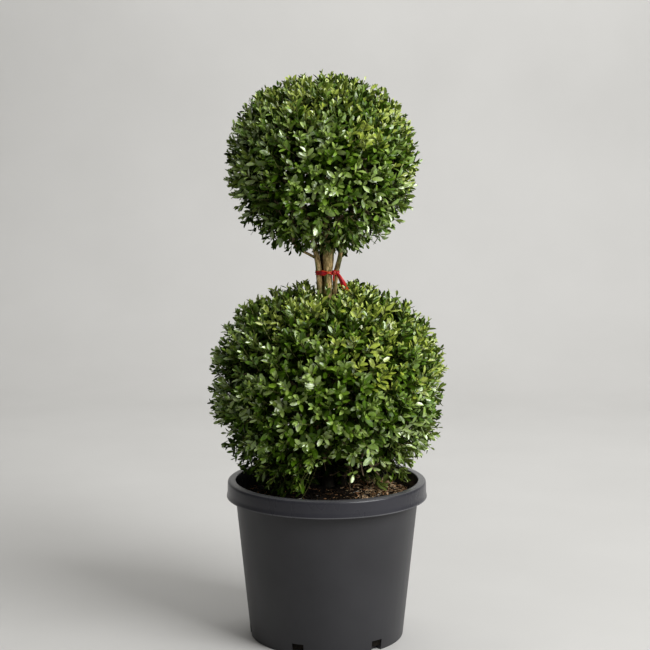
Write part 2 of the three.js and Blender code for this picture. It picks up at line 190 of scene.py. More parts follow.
def relief(finish, height, strength, distance):
    """Shades the surface as if a height of 1 stood out of it by a distance in metres."""
    bump = add(finish, "Bump", Height=height, Strength=strength, Distance=distance)
    feed(finish, "Normal", bump.outputs[0])


# %% [markdown]
# ## The studio
# A sheet of pale paper rolls from the floor up behind the plant. It could be two planes, but where they
# meet there would be a corner, so one grid is bent along a quarter circle instead.

# %% The paper
PAPER_HALF = 6.0
PAPER_STEPS = (8, 96)  # faces across, and towards the back
PAPER_BEND = 2.4  # how far behind the plant the paper starts to rise
PAPER_RADIUS = 1.2
PAPER_STRETCH = 2  # of the part that stands upright
PAPER_TONE = (0.53, 0.525, 0.51)
PAPER_CLOUD = (0.55, 0.545, 0.53)

bm = bmesh.new()
bmesh.ops.create_grid(bm, x_segments=PAPER_STEPS[0], y_segments=PAPER_STEPS[1], size=PAPER_HALF)
for vert in bm.verts:
    past = vert.co.y - PAPER_BEND
    turn = min(max(past / PAPER_RADIUS, 0), math.pi / 2)
    if past > 0:
        upright = max(past - PAPER_RADIUS * math.pi / 2, 0)
        vert.co.y = PAPER_BEND + PAPER_RADIUS * math.sin(turn)
        vert.co.z = PAPER_RADIUS * (1 - math.cos(turn)) + upright * PAPER_STRETCH
paper_finish = new_finish("paper", PAPER_TONE, 0.9)
grain = noise_in(paper_finish, 3, 3)
feed(paper_finish, "Base Color", ramp(paper_finish, grain, (0.3, PAPER_TONE), (0.7, PAPER_CLOUD)))
paper = shown(mesh_of(bm, "paper"), "paper", [paper_finish], smooth_below=60)
print("Paper", 2 * PAPER_HALF, "m wide")

# %% [markdown]
# ## The light
# One large soft light stands high to the right and in front and models the two balls, and a wide one
# overhead lights the paper behind. The room itself is dim. Three brighter places in it fill in the shadows
# and give the leaves and the plastic something to shine with, which costs far less than more lamps would.

# %% The light
KEY_PLACE = Vector((2.74, -2.16, 2.83))
KEY_AIM = Vector((0, 0, 0.45))
KEY_SIZE = (2.5, 2.4)
KEY_POWER = 214
WALL_LIGHT_PLACE = Vector((0.35, 1.3, 3.1))
WALL_LIGHT_AIM = Vector((0.1, 3.6, 1.0))
WALL_LIGHT_SIZE = (3.0, 0.8)
WALL_LIGHT_POWER = 56
FILL_TONE = (1.0, 0.985, 0.95)
FILL_POWER = 0.072
GLOWS = (  # further light of the room: from where, how strong, how narrow
    ((0.66, -0.38, 0.65), 0.36, 3),
    ((0.1, -0.25, 0.963), 0.20, 2),
    ((0.05, 0.45, 0.89), 1.8, 24),
)


def soft_light(name, place, aim, size, power):
    """A soft box at a place that shines towards a point."""
    light = bpy.data.lights.new(name, "AREA")
    light.shape = "RECTANGLE"
    light.size, light.size_y = size
    light.energy = power
    box = bpy.data.objects.new(name, light)
    box.location = place
    box.rotation_euler = (aim - place).to_track_quat("-Z", "Y").to_euler()
    bpy.context.scene.collection.objects.link(box)


soft_light("key", KEY_PLACE, KEY_AIM, KEY_SIZE, KEY_POWER)
soft_light("wall", WALL_LIGHT_PLACE, WALL_LIGHT_AIM, WALL_LIGHT_SIZE, WALL_LIGHT_POWER)

room = bpy.data.worlds.new("room")
room.use_nodes = True
walls = room.node_tree.nodes["Background"]
walls.inputs["Color"].default_value = (*FILL_TONE, 1)
way = add(room, "TexCoord").outputs["Generated"]
strength = FILL_POWER
for middle, power, narrow in GLOWS:
    towards = add(room, "VectorMath", {"operation": "DOT_PRODUCT"}, Vector=way)
    towards.inputs[1].default_value = middle
    glow = counted(room, "POWER", counted(room, "MAXIMUM", towards.outputs["Value"], 0), narrow)
    strength = counted(room, "MULTIPLY_ADD", glow, power, strength)
room.node_tree.links.new(strength, walls.inputs["Strength"])
bpy.context.scene.world = room
bpy.context.scene.view_settings.view_transform = "Standard"
print("Key light", KEY_POWER, "W, and", len(GLOWS), "brighter places in the room")

# %% [markdown]
# ## The pot
# A nursery pot is moulded in one shot: a thin tapered wall, a rolled rim with a skirt that stiffens it,
# and a foot ring with slots for the water to drain. All of it is round, so its section is drawn once and
# spun. The corners of the section are rounded before the spin, as the mould's are, and the slots are cut
# last.

# %% The pot's section
POT_HEIGHT = 0.286
FOOT_RADIUS = 0.1395
WALL_SLOPE = 0.102
WALL_THICKNESS = 0.0032
FLOOR_LIFT = 0.005
POT_FLOOR = 0.008
FOOT_RING = 0.014
RIM_RADIUS = 0.1796
RIM_THICKNESS = 0.0045
SKIRT_HEIGHT = 0.030
SKIRT_THICKNESS = 0.003
BEAD_OUT = 0.0022
BEAD_HEIGHT = 0.008
POT_STEPS = 192
POT_SMOOTH = 40  # degrees between two faces up to which they look like one


def wall_outer(height):
    """The radius of the wall's outside at a height."""
    return FOOT_RADIUS + WALL_SLOPE * height


def wall_inner(height):
    """The radius of its inside there."""
    return wall_outer(height) - WALL_THICKNESS


def rounded(corners, steps=6):
    """An outline through (radius, height, rounding) corners, each rounded by a curve."""
    outline = []
    for i, (radius, height, rounding) in enumerate(corners):
        corner = Vector((radius, 0, height))
        if rounding == 0:
            outline.append(corner)
            continue
        before = Vector((corners[i - 1][0], 0, corners[i - 1][1]))
        after = Vector((corners[i + 1][0], 0, corners[i + 1][1]))
        start = corner + (before - corner).normalized() * rounding
        end = corner + (after - corner).normalized() * rounding
        for step in range(steps + 1):
            share = step / steps
            outline.append(start.lerp(corner, share).lerp(corner.lerp(end, share), share))
    return outline


def spun(outline, steps):
    """An outline that starts and ends on the Z axis, spun round it into a solid."""
    bm = bmesh.new()
    verts = [bm.verts.new(point) for point in outline]
    edges = [bm.edges.new(pair) for pair in zip(verts, verts[1:])]
    around = {"axis": (0, 0, 1), "cent": (0, 0, 0), "angle": 2 * math.pi}
    bmesh.ops.spin(bm, geom=verts + edges, steps=steps, use_merge=True, **around)
    bmesh.ops.remove_doubles(bm, verts=bm.verts, dist=1e-6)
    bmesh.ops.recalc_face_normals(bm, faces=bm.faces)
    return bm


deck = POT_HEIGHT - RIM_THICKNESS
skirt_foot = POT_HEIGHT - SKIRT_HEIGHT
bead = RIM_RADIUS + BEAD_OUT
pot_corners = [  # radius, height, and how far the corner is rounded
    (0, FLOOR_LIFT, 0),
    (FOOT_RADIUS - FOOT_RING - 0.002, FLOOR_LIFT, 0.0006),
    (FOOT_RADIUS - FOOT_RING - 0.001, 0, 0.0006),
    (FOOT_RADIUS, 0, 0.0012),
    (wall_outer(deck), deck, 0.001),
    (RIM_RADIUS - SKIRT_THICKNESS, deck, 0.0008),
    (RIM_RADIUS - SKIRT_THICKNESS, skirt_foot + BEAD_HEIGHT, 0.001),
    (bead - SKIRT_THICKNESS, skirt_foot, 0.0006),
    (bead, skirt_foot, 0.0009),
    (RIM_RADIUS + 0.0006, skirt_foot + BEAD_HEIGHT, 0.003),
    (RIM_RADIUS, POT_HEIGHT, 0.0055),
    (wall_inner(POT_HEIGHT), POT_HEIGHT, 0.0016),
    (wall_inner(POT_FLOOR), POT_FLOOR, 0.002),
    (0, POT_FLOOR, 0),
]
pot_outline = rounded(pot_corners)
print("The pot's section has", len(pot_outline), "points")

# %% Spin the pot and cut its drains
DRAIN_COUNT = 6
DRAIN_SIZE = (0.022, 0.024, 0.030)  # across, through the wall, and up, with 10 mm of it below the ground
DRAIN_MIDDLE = 0.005
DRAIN_TURN = math.radians(8.65)

pot = shown(mesh_of(spun(pot_outline, POT_STEPS), "pot_moulding"), "pot_moulding", [])
bm = bmesh.new()
for i in range(DRAIN_COUNT):
    turn = Matrix.Rotation(DRAIN_TURN + 2 * math.pi * (i + 0.5) / DRAIN_COUNT, 4, "Z")
    place = turn @ Matrix.Translation((0, -FOOT_RADIUS, DRAIN_MIDDLE)) @ Matrix.Diagonal((*DRAIN_SIZE, 1))
    bmesh.ops.create_cube(bm, size=1, matrix=place)
drains = shown(mesh_of(bm, "drains"), "drains", [])
cut = pot.modifiers.new("drains", "BOOLEAN")
cut.object = drains
cut.solver = "EXACT"
graph = bpy.context.evaluated_depsgraph_get()
whole = bpy.data.meshes.new_from_object(pot.evaluated_get(graph))
pot.modifiers.clear()
pot.data = whole
bpy.data.objects.remove(drains)
whole.shade_smooth()
whole.set_sharp_from_angle(angle=math.radians(POT_SMOOTH))
belongs(pot, "pot", "pot")

# %% [markdown]
# ## The pot's plastic
# Nursery pots are pressed from dark recycled plastic. The wall is satin, with a fine grain from the mould
# and faint upright marks where it slid off the core. The collar is smoother, and its colour is a little
# bluer as a painted reflection. Its lip and the edge of its bead are painted pale as highlights. Each of
# these places has a height of its own, so one finish that reads the height can tell them apart, and no face
# has to be picked by hand.

# %% The pot's plastic
COLLAR_CALM = -0.8  # change of the marks' strength on the collar
COLLAR_GLOSS = -0.10  # change of the roughness there
BEAD_EDGE = 0.0014  # height over the skirt's foot of the bead's edge, which gets a painted highlight
BEAD_EDGE_HALF = 0.0009
LIP_DEPTH = 0.0012
# the colour of the painted highlight along the lip and the bead's edge
PAINTED_HIGHLIGHT_TONE = (0.105, 0.105, 0.110)
HIGHLIGHT_SHARE = 1.5  # how much of it shows where the clouds are lightest
LEAST_ROUGH = 0.34
CLOUDS_ROUGH, MARKS_ROUGH = 0.06, 0.10  # how much the clouds and the marks add to that
MARKS_HEIGHT, GRAIN_HEIGHT = 0.5, 0.35  # shares of the relief


def pot_finish():
    """Charcoal plastic: satin on the wall, smoother and bluer on the collar as a painted reflection, with
    painted highlights at its edges.
    """
    finish = new_finish("charcoal_plastic", (0.034, 0.034, 0.037), 0.4, Specular_IOR_Level=0.32)
    clouds = noise_in(finish, 9, 4)
    grain = noise_in(finish, 1500, 2)
    height = add(finish, "SeparateXYZ", Vector=place_of(finish)).outputs["Z"]
    collar = counted(finish, "GREATER_THAN", height, skirt_foot)
    scraped = noise_in(finish, 60, 3, place_of(finish, (1, 1, 0.05)))
    marks = counted(finish, "MULTIPLY", scraped, counted(finish, "MULTIPLY_ADD", collar, COLLAR_CALM, 1))
    wall = ramp(finish, clouds, (0.3, (0.025, 0.025, 0.028)), (0.7, (0.034, 0.034, 0.0375)))
    # the collar's colour is a little bluer than the wall's, a painted reflection
    smooth = ramp(finish, clouds, (0.3, (0.024, 0.024, 0.030)), (0.7, (0.031, 0.031, 0.038)))
    over_bead = counted(finish, "ABSOLUTE", counted(finish, "SUBTRACT", height, skirt_foot + BEAD_EDGE))
    bead_edge = counted(finish, "LESS_THAN", over_bead, BEAD_EDGE_HALF)
    lip = counted(finish, "GREATER_THAN", height, POT_HEIGHT - LIP_DEPTH)
    edges = counted(finish, "MAXIMUM", bead_edge, lip)
    # the painted highlight on the lip and the bead's edge shows most where the clouds are lightest
    painted_highlight = counted(finish, "MULTIPLY", edges, counted(finish, "MULTIPLY", clouds, HIGHLIGHT_SHARE))
    feed(finish, "Base Color", mixed(finish, painted_highlight, mixed(finish, collar, wall, smooth), PAINTED_HIGHLIGHT_TONE))
    clouded = counted(finish, "MULTIPLY_ADD", clouds, CLOUDS_ROUGH, LEAST_ROUGH)
    worn = counted(finish, "MULTIPLY_ADD", marks, MARKS_ROUGH, clouded)
    feed(finish, "Roughness", counted(finish, "MULTIPLY_ADD", collar, COLLAR_GLOSS, worn))
    scratches = counted(finish, "MULTIPLY", marks, MARKS_HEIGHT)
    fine = counted(finish, "ADD", scratches, counted(finish, "MULTIPLY", grain, GRAIN_HEIGHT))
    relief(finish, fine, 0.35, 0.0006)
    return finish


pot.data.materials.append(pot_finish())
print("The pot is charcoal plastic, smoother over", round(skirt_foot * 1000), "mm")

# %% [markdown]
# ## The soil
# The filling is composted bark and coir, heaped a little towards the stems. Its body is spun like the pot
# and its top is then lifted and dropped by noise. The chips and fibres that lie on it are far too many to
# model one by one, so one sliver is shaped and thousands of copies of its points are dealt out as a
# joined mesh.

# %% The body of the soil
CLEARANCE = 0.0004
SOIL_EDGE = 0.254
SOIL_CROWN = 0.272
CROWN_RADIUS = 0.046
SOIL_RADIUS = wall_inner(SOIL_EDGE) - CLEARANCE
SOIL_RINGS = 64
SOIL_STEPS = 224
LUMPS = ((55, 0.0035), (190, 0.0022))  # waves to a metre, and how high they are
LUMPS_FADE = 0.01  # how near the wall the lumps start to fade
LUMPS_PAST = 0.002  # how far past the wall they would be gone
TOP_ONLY = 0.001  # only the soil above its edge less this is lumpy


def soil_top(reach):
    """The height of the soil at a distance from the pot's axis."""
    share = np.clip((reach - CROWN_RADIUS) / (SOIL_RADIUS - CROWN_RADIUS), 0, 1)
    return SOIL_CROWN + (SOIL_EDGE - SOIL_CROWN) * share


soil_low = POT_FLOOR + CLEARANCE
soil_outline = [Vector((0, 0, soil_low)), Vector((wall_inner(soil_low) - CLEARANCE, 0, soil_low))]
for i in range(SOIL_RINGS + 1):
    reach = SOIL_RADIUS * (1 - i / SOIL_RINGS)
    soil_outline.append(Vector((reach, 0, float(soil_top(reach)))))
bm = spun(soil_outline, SOIL_STEPS)
for vert in bm.verts:
    if vert.co.z > SOIL_EDGE - TOP_ONLY:
        lumps = sum(noise.noise(vert.co * waves) * height for waves, height in LUMPS)
        inward = min(1, (SOIL_RADIUS + LUMPS_PAST - vert.co.to_2d().length) / LUMPS_FADE)
        vert.co.z += lumps * inward
soil = shown(mesh_of(bm, "soil_body"), "soil_body", [], smooth_below=80)
belongs(soil, "soil", "soil")


# %% Joined copies of a shape
def arrayed(name, shape, triangles, frames, places, tones, finishes, uv=None, smooth_below=None):
    """Joined copies of a shape, or of one shape each: every copy has its axes, its place and its finish."""
    count, size = len(places), shape.shape[-2]
    points = np.einsum("nij,nkj->nki", frames, np.broadcast_to(shape, (count, size, 3))) + places[:, None]
    corners = (triangles[None] + size * np.arange(count)[:, None, None]).reshape(-1, 3)
    mesh = bpy.data.meshes.new(name)
    mesh.from_pydata(points.reshape(-1, 3), [], corners)
    mesh.polygons.foreach_set("material_index", np.asarray(tones, np.int32).ravel())
    if uv is not None:
        mesh.uv_layers.new(name="leaf").data.foreach_set("uv", np.tile(uv.ravel(), count).astype(np.float32))
    return shown(mesh, name, finishes, smooth_below)


def unit(vectors):
    """The same directions with a length of 1."""
    return vectors / np.linalg.norm(vectors, axis=-1, keepdims=True)


# %% One chip
SLIVER_END = 0.45  # how wide and thick it is at its ends
SLIVER_BEND = 0.15


def sliver():
    """A splinter of bark as long as 1: a cube drawn out and narrowed at both ends."""
    bm = bmesh.new()
    bmesh.ops.create_cube(bm, size=1)
    long_edges = [edge for edge in bm.edges if abs(edge.verts[0].co.x - edge.verts[1].co.x) > 0.5]
    bmesh.ops.subdivide_edges(bm, edges=long_edges, cuts=1, use_grid_fill=True)
    for vert in bm.verts:
        narrow = SLIVER_END if abs(vert.co.x) > 0.4 else 1
        vert.co.y *= narrow
        vert.co.z = vert.co.z * narrow + SLIVER_BEND * (1 - narrow)
    bmesh.ops.triangulate(bm, faces=bm.faces)
    bm.verts.index_update()
    shape = np.array([vert.co for vert in bm.verts])
    triangles = np.array([[vert.index for vert in face.verts] for face in bm.faces])
    bm.free()
    return shape, triangles


chip_shape, chip_triangles = sliver()
print("A chip has", len(chip_triangles), "triangles")

# %% Where the chips lie
CHIP_COUNT = 6200
CHIP_NEAREST = 0.035  # none lie deeper in the shade under the leaves
CHIP_OFF_WALL = 0.004
CHIP_LIFTS = (-0.0005, 0.003)  # over the soil's top
CHIP_LENGTHS = (0.003, 0.013)
CHIP_WIDTHS = (0.0008, 0.0024)
CHIP_THICKS = (0.25, 0.6)  # against their widths
CHIP_LIE = (1, 1, 0.28)  # they lie nearly level along their length
CHIP_TILT = (1, 1, 0.4)  # and lean more across it
SHADE_TONES = (0.80, 0.14, 0.05, 0.004, 0.006)  # shares of dark, brown, russet, tan and chalk where the ball's shade falls, mostly dark as painted shade
LIGHTED_TONES = (0.24, 0.14, 0.24, 0.36, 0.02)  # and on the right, more tan as painted light where the light falls on the soil
# over this reach to the right the chips go from painted shade to painted light
LIGHT_FROM, LIGHT_TO = 0.030, 0.075
CHIP_SEED = 31

chance = np.random.default_rng(CHIP_SEED)
reach = np.sqrt(chance.uniform(CHIP_NEAREST**2, (SOIL_RADIUS - CHIP_OFF_WALL) ** 2, CHIP_COUNT))
angle = chance.uniform(0, 2 * math.pi, CHIP_COUNT)
lift = soil_top(reach) + chance.uniform(*CHIP_LIFTS, CHIP_COUNT)
places = np.stack([reach * np.cos(angle), reach * np.sin(angle), lift], -1)
along = unit(chance.normal(size=(CHIP_COUNT, 3)) * CHIP_LIE)
over = unit(np.cross(along, unit(chance.normal(size=(CHIP_COUNT, 3)) * CHIP_TILT)))
across = np.cross(over, along)
lengths = chance.uniform(*CHIP_LENGTHS, CHIP_COUNT)
widths = chance.uniform(*CHIP_WIDTHS, CHIP_COUNT)
thicks = widths * chance.uniform(*CHIP_THICKS, CHIP_COUNT)
chip_frames = np.stack([along * lengths[:, None], across * widths[:, None], over * thicks[:, None]], -1)
# chips are dealt lighter tones on the right as painted light, darker ones elsewhere as painted shade
light_share = np.clip((places[:, 0] - LIGHT_FROM) / (LIGHT_TO - LIGHT_FROM), 0, 1)
is_lighted = chance.random(CHIP_COUNT) < light_share
unlighted, lighted = [chance.choice(len(tones), CHIP_COUNT, p=tones) for tones in (SHADE_TONES, LIGHTED_TONES)]
chip_tones = np.repeat(np.where(is_lighted, lighted, unlighted), len(chip_triangles))
print(int(is_lighted.sum()), "of", CHIP_COUNT, "chips are dry")

# %% [markdown]
# ## The finishes of the soil
# Damp compost is nearly black, and the chips in it dry to brown, russet and tan, with a few chalky grains.
# All are rough plant matter, so one recipe serves: a fine noise between a dark and a light shade, which
# also roughens the surface. Each tone is a finish of its own, and the chips are dealt them by place: mostly
# dark ones under the leaves as painted shade, and more russet and tan on the right as painted light.


# %% The finishes of the soil
def crumb_finish(name, dark, light, scale=260.0):
    """Rough plant matter between two tones."""
    finish = new_finish(name, dark, 0.9, Specular_IOR_Level=0.12)
    grain = noise_in(finish, scale, 4)
    feed(finish, "Base Color", ramp(finish, grain, (0.35, dark), (0.65, light)))
    relief(finish, noise_in(finish, scale * 2, 3), 0.6, 0.001)
    return finish


soil.data.materials.append(crumb_finish("damp_compost", (0.003, 0.0025, 0.002), (0.012, 0.009, 0.006)))
chip_finishes = [
    crumb_finish("dark_bark_chip", (0.006, 0.004, 0.003), (0.022, 0.014, 0.009)),
    crumb_finish("brown_bark_chip", (0.05, 0.029, 0.013), (0.14, 0.082, 0.036)),
    crumb_finish("russet_coir", (0.22, 0.108, 0.048), (0.48, 0.26, 0.125)),
    crumb_finish("tan_fibre", (0.42, 0.28, 0.145), (0.78, 0.58, 0.36)),
    crumb_finish("chalky_grain", (0.5, 0.48, 0.43), (0.7, 0.68, 0.62)),
]
chip_parts = (chip_shape, chip_triangles, chip_frames, places, chip_tones, chip_finishes)
chips = arrayed("soil_chips", *chip_parts, smooth_below=50)
belongs(chips, "soil", "soil")

# %% [markdown]
# ## The stems
# The stems of a box are nearly straight, a little knobby and finely split along their length. A curve with
# a round bevel would be quicker but stays smooth. Here each stem starts as a cone primitive with many
# rings. Every ring is carried to its place along the stem's line, narrowed to its true taper, and pushed in
# and out by a noise that is drawn out along the stem, which gives furrows instead of lumps.

# %% The lines of the stems
FLARE_HEIGHT = 0.026
FLARE_SHARE = 0.45
LIMBS = {  # lines in millimetres from foot to tip, radii at both ends in metres
    "trunk": {
        "line": [
            (2, -2, 272), (1, -3, 360), (3, -3, 460), (1.5, -3, 560), (1.8, -3, 625),
            (2.4, -3, 660), (2.8, -2, 700), (-3, 0, 780), (-7, 0, 850),
        ],
        "radii": (0.0092, 0.0066),
        "swell": (0.692, 0.0028, 0.018),  # at a height, by a size, over a reach
        "rooted": True,
        "sides": 40,
    },
    "stem_left": {
        "line": [
            (-27, 4, 272), (-20, 3, 360), (-15, 3, 460), (-13.6, 2.5, 560), (-12.4, 2, 625),
            (-14, 2, 660), (-19, 2, 695), (-34, 4, 750), (-56, 6, 806),
        ],
        "radii": (0.0076, 0.0049),
        "rooted": True,
        "sides": 32,
    },
    "stem_right": {
        "line": [
            (30, 5, 272), (22, 4, 360), (17.5, 4, 460), (14.8, 3, 560), (14.3, 3, 635),
            (16.8, 3, 660), (20.6, 3.5, 676), (25, 4, 695), (37, 6, 742), (54, 8, 790),
        ],
        "radii": (0.0062, 0.0042),
        "rooted": True,
        "sides": 32,
    },
    "stem_back": {
        "line": [
            (-6, 26, 272), (-6, 20, 360), (-7, 15, 460), (-7, 12.5, 560), (-6.6, 11.5, 625),
            (-7.6, 11.5, 660), (-10, 12.5, 700), (-16, 24, 745), (-22, 40, 790),
        ],
        "radii": (0.0054, 0.0034),
        "rooted": True,
        "sides": 32,
    },
    "bough_left": {
        "line": [(-20, 1.8, 686.6), (-33, -2, 694), (-43, -6, 699), (-58, -12, 712)],
        "radii": (0.0027, 0.0018),
        "rooted": False,
        "sides": 16,
    },
}


def smooth_line(points, steps=24):
    """A line through points in millimetres that bends without corners, tighter where they lie close."""
    points = [Vector(point) / 1000 for point in points]
    ends = [2 * points[0] - points[1], *points, 2 * points[-1] - points[-2]]
    line = []
    for a, b, c, d in zip(ends, ends[1:], ends[2:], ends[3:]):
        at_b = (b - a).length ** 0.5
        at_c = at_b + (c - b).length ** 0.5
        at_d = at_c + (d - c).length ** 0.5
        for step in range(steps):
            time = at_b + (at_c - at_b) * step / steps
            share = (time - at_b) / (at_c - at_b)
            middle = b.lerp(c, share)
            first = a.lerp(b, time / at_b).lerp(middle, time / at_c)
            second = middle.lerp(c.lerp(d, (time - at_c) / (at_d - at_c)), (time - at_b) / (at_d - at_b))
            line.append(first.lerp(second, share))
    line.append(points[-1])
    return np.array(line)


def resampled(line, shares):
    """Points at shares of a line's length, with the way the line runs there."""
    steps = np.linalg.norm(np.diff(line, axis=0), axis=1)
    shares_there = np.concatenate([[0], np.cumsum(steps)]) / steps.sum()

    def at(share):
        return np.stack([np.interp(share, shares_there, line[:, axis]) for axis in range(3)], -1)

    near = 0.004  # the share of the length over which the way is taken
    return at(shares), unit(at(np.minimum(shares + near, 1)) - at(np.maximum(shares - near, 0)))


def limb_rings(limb, rings):
    """Middle, radius and direction of rings along a limb, from foot to tip."""
    shares = np.linspace(0, 1, rings + 1)
    middles, ways = resampled(smooth_line(limb["line"]), shares)
    height = middles[-1, 2] - middles[0, 2]
    radii = limb["radii"][0] + (limb["radii"][1] - limb["radii"][0]) * shares
    if limb["rooted"]:
        radii = radii * (1 + FLARE_SHARE * np.maximum(0, 1 - shares * height / FLARE_HEIGHT) ** 2)
        ways[0] = (0, 0, 1)
    if "swell" in limb:
        swell_height, size, reach = limb["swell"]
        radii = radii + size * np.exp(-(((middles[:, 2] - swell_height) / reach) ** 2) / 2)
    return middles, radii, ways


SPOT_RINGS = 70

limb_spots = []
for limb in LIMBS.values():
    middles, radii, _ = limb_rings(limb, SPOT_RINGS)
    limb_spots.append(np.column_stack([middles, radii]))
limb_spots = np.concatenate(limb_spots)
print("The limbs are followed through", len(limb_spots), "points")


# %% The bark's relief
BARK_STEP = 0.0021  # between two rings
FURROW = 0.0007
FURROW_WAVES = (420, 48)  # to a metre, round the limb and along it
FURROW_MEAN = 0.45  # of the noise that makes the furrows
KNOBS = 0.0009
KNOB_WAVES = (70, 34)
MOST_OUT_OF_BARK = 0.0004  # how far the bark may stand out of the limb's own radius
FULL_BARK = 0.004  # radius of the thinnest limb with full relief


def bark_push(angle, along, radius, seed):
    """How far the bark stands out at an angle round and a length along a limb."""
    around = Vector((math.cos(angle), math.sin(angle), 0)) * radius

    def drawn_out(waves_round, waves_along):
        return Vector((around.x * waves_round, around.y * waves_round, along * waves_along + seed))

    furrowed = noise.turbulence(drawn_out(*FURROW_WAVES), 3, False)
    return FURROW * (furrowed - FURROW_MEAN) + KNOBS * noise.noise(drawn_out(*KNOB_WAVES))


def limb_mesh(name, limb, seed):
    """A cone primitive carried along the limb's line, with the bark's relief."""
    line = smooth_line(limb["line"])
    length = np.linalg.norm(np.diff(line, axis=0), axis=1).sum()
    rings = int(length / BARK_STEP)
    middles, radii, ways = limb_rings(limb, rings)
    bm = bmesh.new()
    ends = {"cap_ends": True, "cap_tris": True}
    bmesh.ops.create_cone(bm, segments=limb["sides"], radius1=1, radius2=1, depth=1, **ends)
    uprights = [edge for edge in bm.edges if abs(edge.verts[0].co.z - edge.verts[1].co.z) > 0.5]
    bmesh.ops.subdivide_edges(bm, edges=uprights, cuts=rings - 1, use_grid_fill=True)
    for vert in bm.verts:
        ring = round((vert.co.z + 0.5) * rings)
        way = Vector(ways[ring])
        across = (Vector((0, 1, 0)) - way * way.y).normalized()
        third = way.cross(across)
        spread = vert.co.to_2d().length
        angle = math.atan2(vert.co.y, vert.co.x)
        push = bark_push(angle, ring * length / rings, radii[ring], seed)
        push = min(push, MOST_OUT_OF_BARK) * min(1, radii[ring] / FULL_BARK)
        reach = spread * (radii[ring] + push)
        vert.co = Vector(middles[ring]) + across * (reach * math.cos(angle))
        vert.co += third * (reach * math.sin(angle))
    bmesh.ops.recalc_face_normals(bm, faces=bm.faces)
    return mesh_of(bm, name)


print("The bark has a ring every", BARK_STEP * 1000, "mm")

# %% [markdown]
# ## The bark
# Box bark is tan where it is dry and finely split, and turns olive with age and moisture. Some stretches of
# it are darker and others lighter, and near the soil it is painted black as shade. An image wrapped round a
# bent stem would stretch, so the tones come from noise in space: one drawn out along the stem for the
# splits, a broad one for the olive patches, and a third that darkens or lightens whole stretches. The stem
# at the back, between the others, has the same bark with all its tones held down as painted shade.


# %% The stems' bark
PAINTED_SHADE_BELOW = 0.36  # the height under which the bark is painted dark as shade
PAINTED_SHADE_FADE = 0.06  # how far above and below that the painted shade fades
PAINTED_SHADE_SHARE = 0.03  # of the bright bark's brightness, in the painted shade
SHADED = 0.12  # brightness of the stem at the back, painted shade between the other stems


def bark_finish(name, bright):
    """Tan and olive bark with darker and lighter stretches, painted shade at the foot, and as bright in all
    as a share says.
    """
    finish = new_finish(name, (0.24, 0.19, 0.11), 0.85, Specular_IOR_Level=0.3)
    drawn = place_of(finish, (1, 1, 0.28))
    furrows = noise_in(finish, 420, 4, drawn, roughness=0.6)
    patches = noise_in(finish, 75, 4, place_of(finish, (1, 1, 0.6)))
    splits, tan, ridges = (0.045, 0.027, 0.010), (0.36, 0.255, 0.10), (0.78, 0.62, 0.33)
    wood = ramp(finish, furrows, (0.3, splits), (0.48, tan), (0.68, ridges))
    green = ramp(finish, furrows, (0.3, (0.045, 0.045, 0.014)), (0.68, (0.32, 0.33, 0.12)))
    where = ramp(finish, patches, (0.50, (0, 0, 0)), (0.60, (1, 1, 1)))
    height = add(finish, "SeparateXYZ", Vector=place_of(finish)).outputs["Z"]
    # near the soil the bark is painted dark as shade
    painted_shade_stop, lighted = (PAINTED_SHADE_BELOW - PAINTED_SHADE_FADE, [PAINTED_SHADE_SHARE * bright] * 3), (PAINTED_SHADE_BELOW + PAINTED_SHADE_FADE, [bright] * 3)
    # noise makes whole stretches of the bark darker or lighter
    stretch_noise = noise_in(finish, 44, 2, place_of(finish, (1, 1, 0.5)))
    stretch_tones = ramp(finish, stretch_noise, (0.40, (0.50, 0.48, 0.40)), (0.54, (1.26, 1.22, 1.22)))
    toned = mixed(finish, 1, mixed(finish, where, wood, green), stretch_tones, "MULTIPLY")
    feed(finish, "Base Color", mixed(finish, 1, toned, ramp(finish, height, painted_shade_stop, lighted), "MULTIPLY"))
    relief(finish, furrows, 0.7, 0.0012)
    return finish


box_bark, shaded_bark = bark_finish("box_bark", 1.0), bark_finish("shaded_bark", SHADED)
for seed, (name, limb) in enumerate(LIMBS.items()):
    # the stem at the back gets the bark darkened as painted shade
    bark = shaded_bark if name == "stem_back" else box_bark
    stem = shown(limb_mesh(name + "_bark", limb, 10.0 * seed), name + "_bark", [bark], smooth_below=70)
    belongs(stem, "bark", name)

# %% [markdown]
# ## How the foliage grows
# A clipped ball is a shell of leaves on twigs that all reach for the same surface. The rule is: directions
# are spread evenly over the ball, along each one a root point lies some way in, and from it a leader and a
# side twig lean apart and run out until the leaf at their end just touches the clipped surface. Crossed
# pairs of leaves sit below each tip. The same rule is used twice here, for the few main twigs that come
# from the stems, and for the many fine ones that they carry. A twig or leaf that would leave the ball or
# touch a stem is left out. Leaves scattered over a ball would be quicker, but they would hang in the air.

# %% The balls and the room in them
BALLS = {  # powers say how square the upper and the lower half are: 2 is round
    "lower": {
        "centre": (0.003, 0, 0.458),
        "radius": 0.213,
        "up": 0.187,
        "down": 0.222,
        "powers": (2.3, 2.0),
    },
    "upper": {
        "centre": (-0.007, 0, 0.850),
        "radius": 0.173,
        "up": 0.163,
        "down": 0.163,
        "powers": (2.15, 2.15),
    },
}
NEAREST_SOIL = 0.003
OVER_RIM = 0.003
INSIDE_RIM = 0.004
BARE_UNDER = (  # turn and half width in degrees, and how high over the soil the leaves stay there
    (1, 16, 0.080),
    (40, 30, 0.074),
)
BARE_FROM = 0.045  # nearer to the stems the leaves reach down all round
DENTS = (  # where the foliage stays back: round which point, over which reach, and how far
    ((0.010, -0.19, 0.358), 0.028, 0.22),
    ((0.012, -0.055, 0.640), 0.040, 0.14),
    ((-0.028, -0.04, 0.690), 0.040, 0.06),
)
MOST_OUT = 1.045  # how far a leaf may stand out of the clipped surface


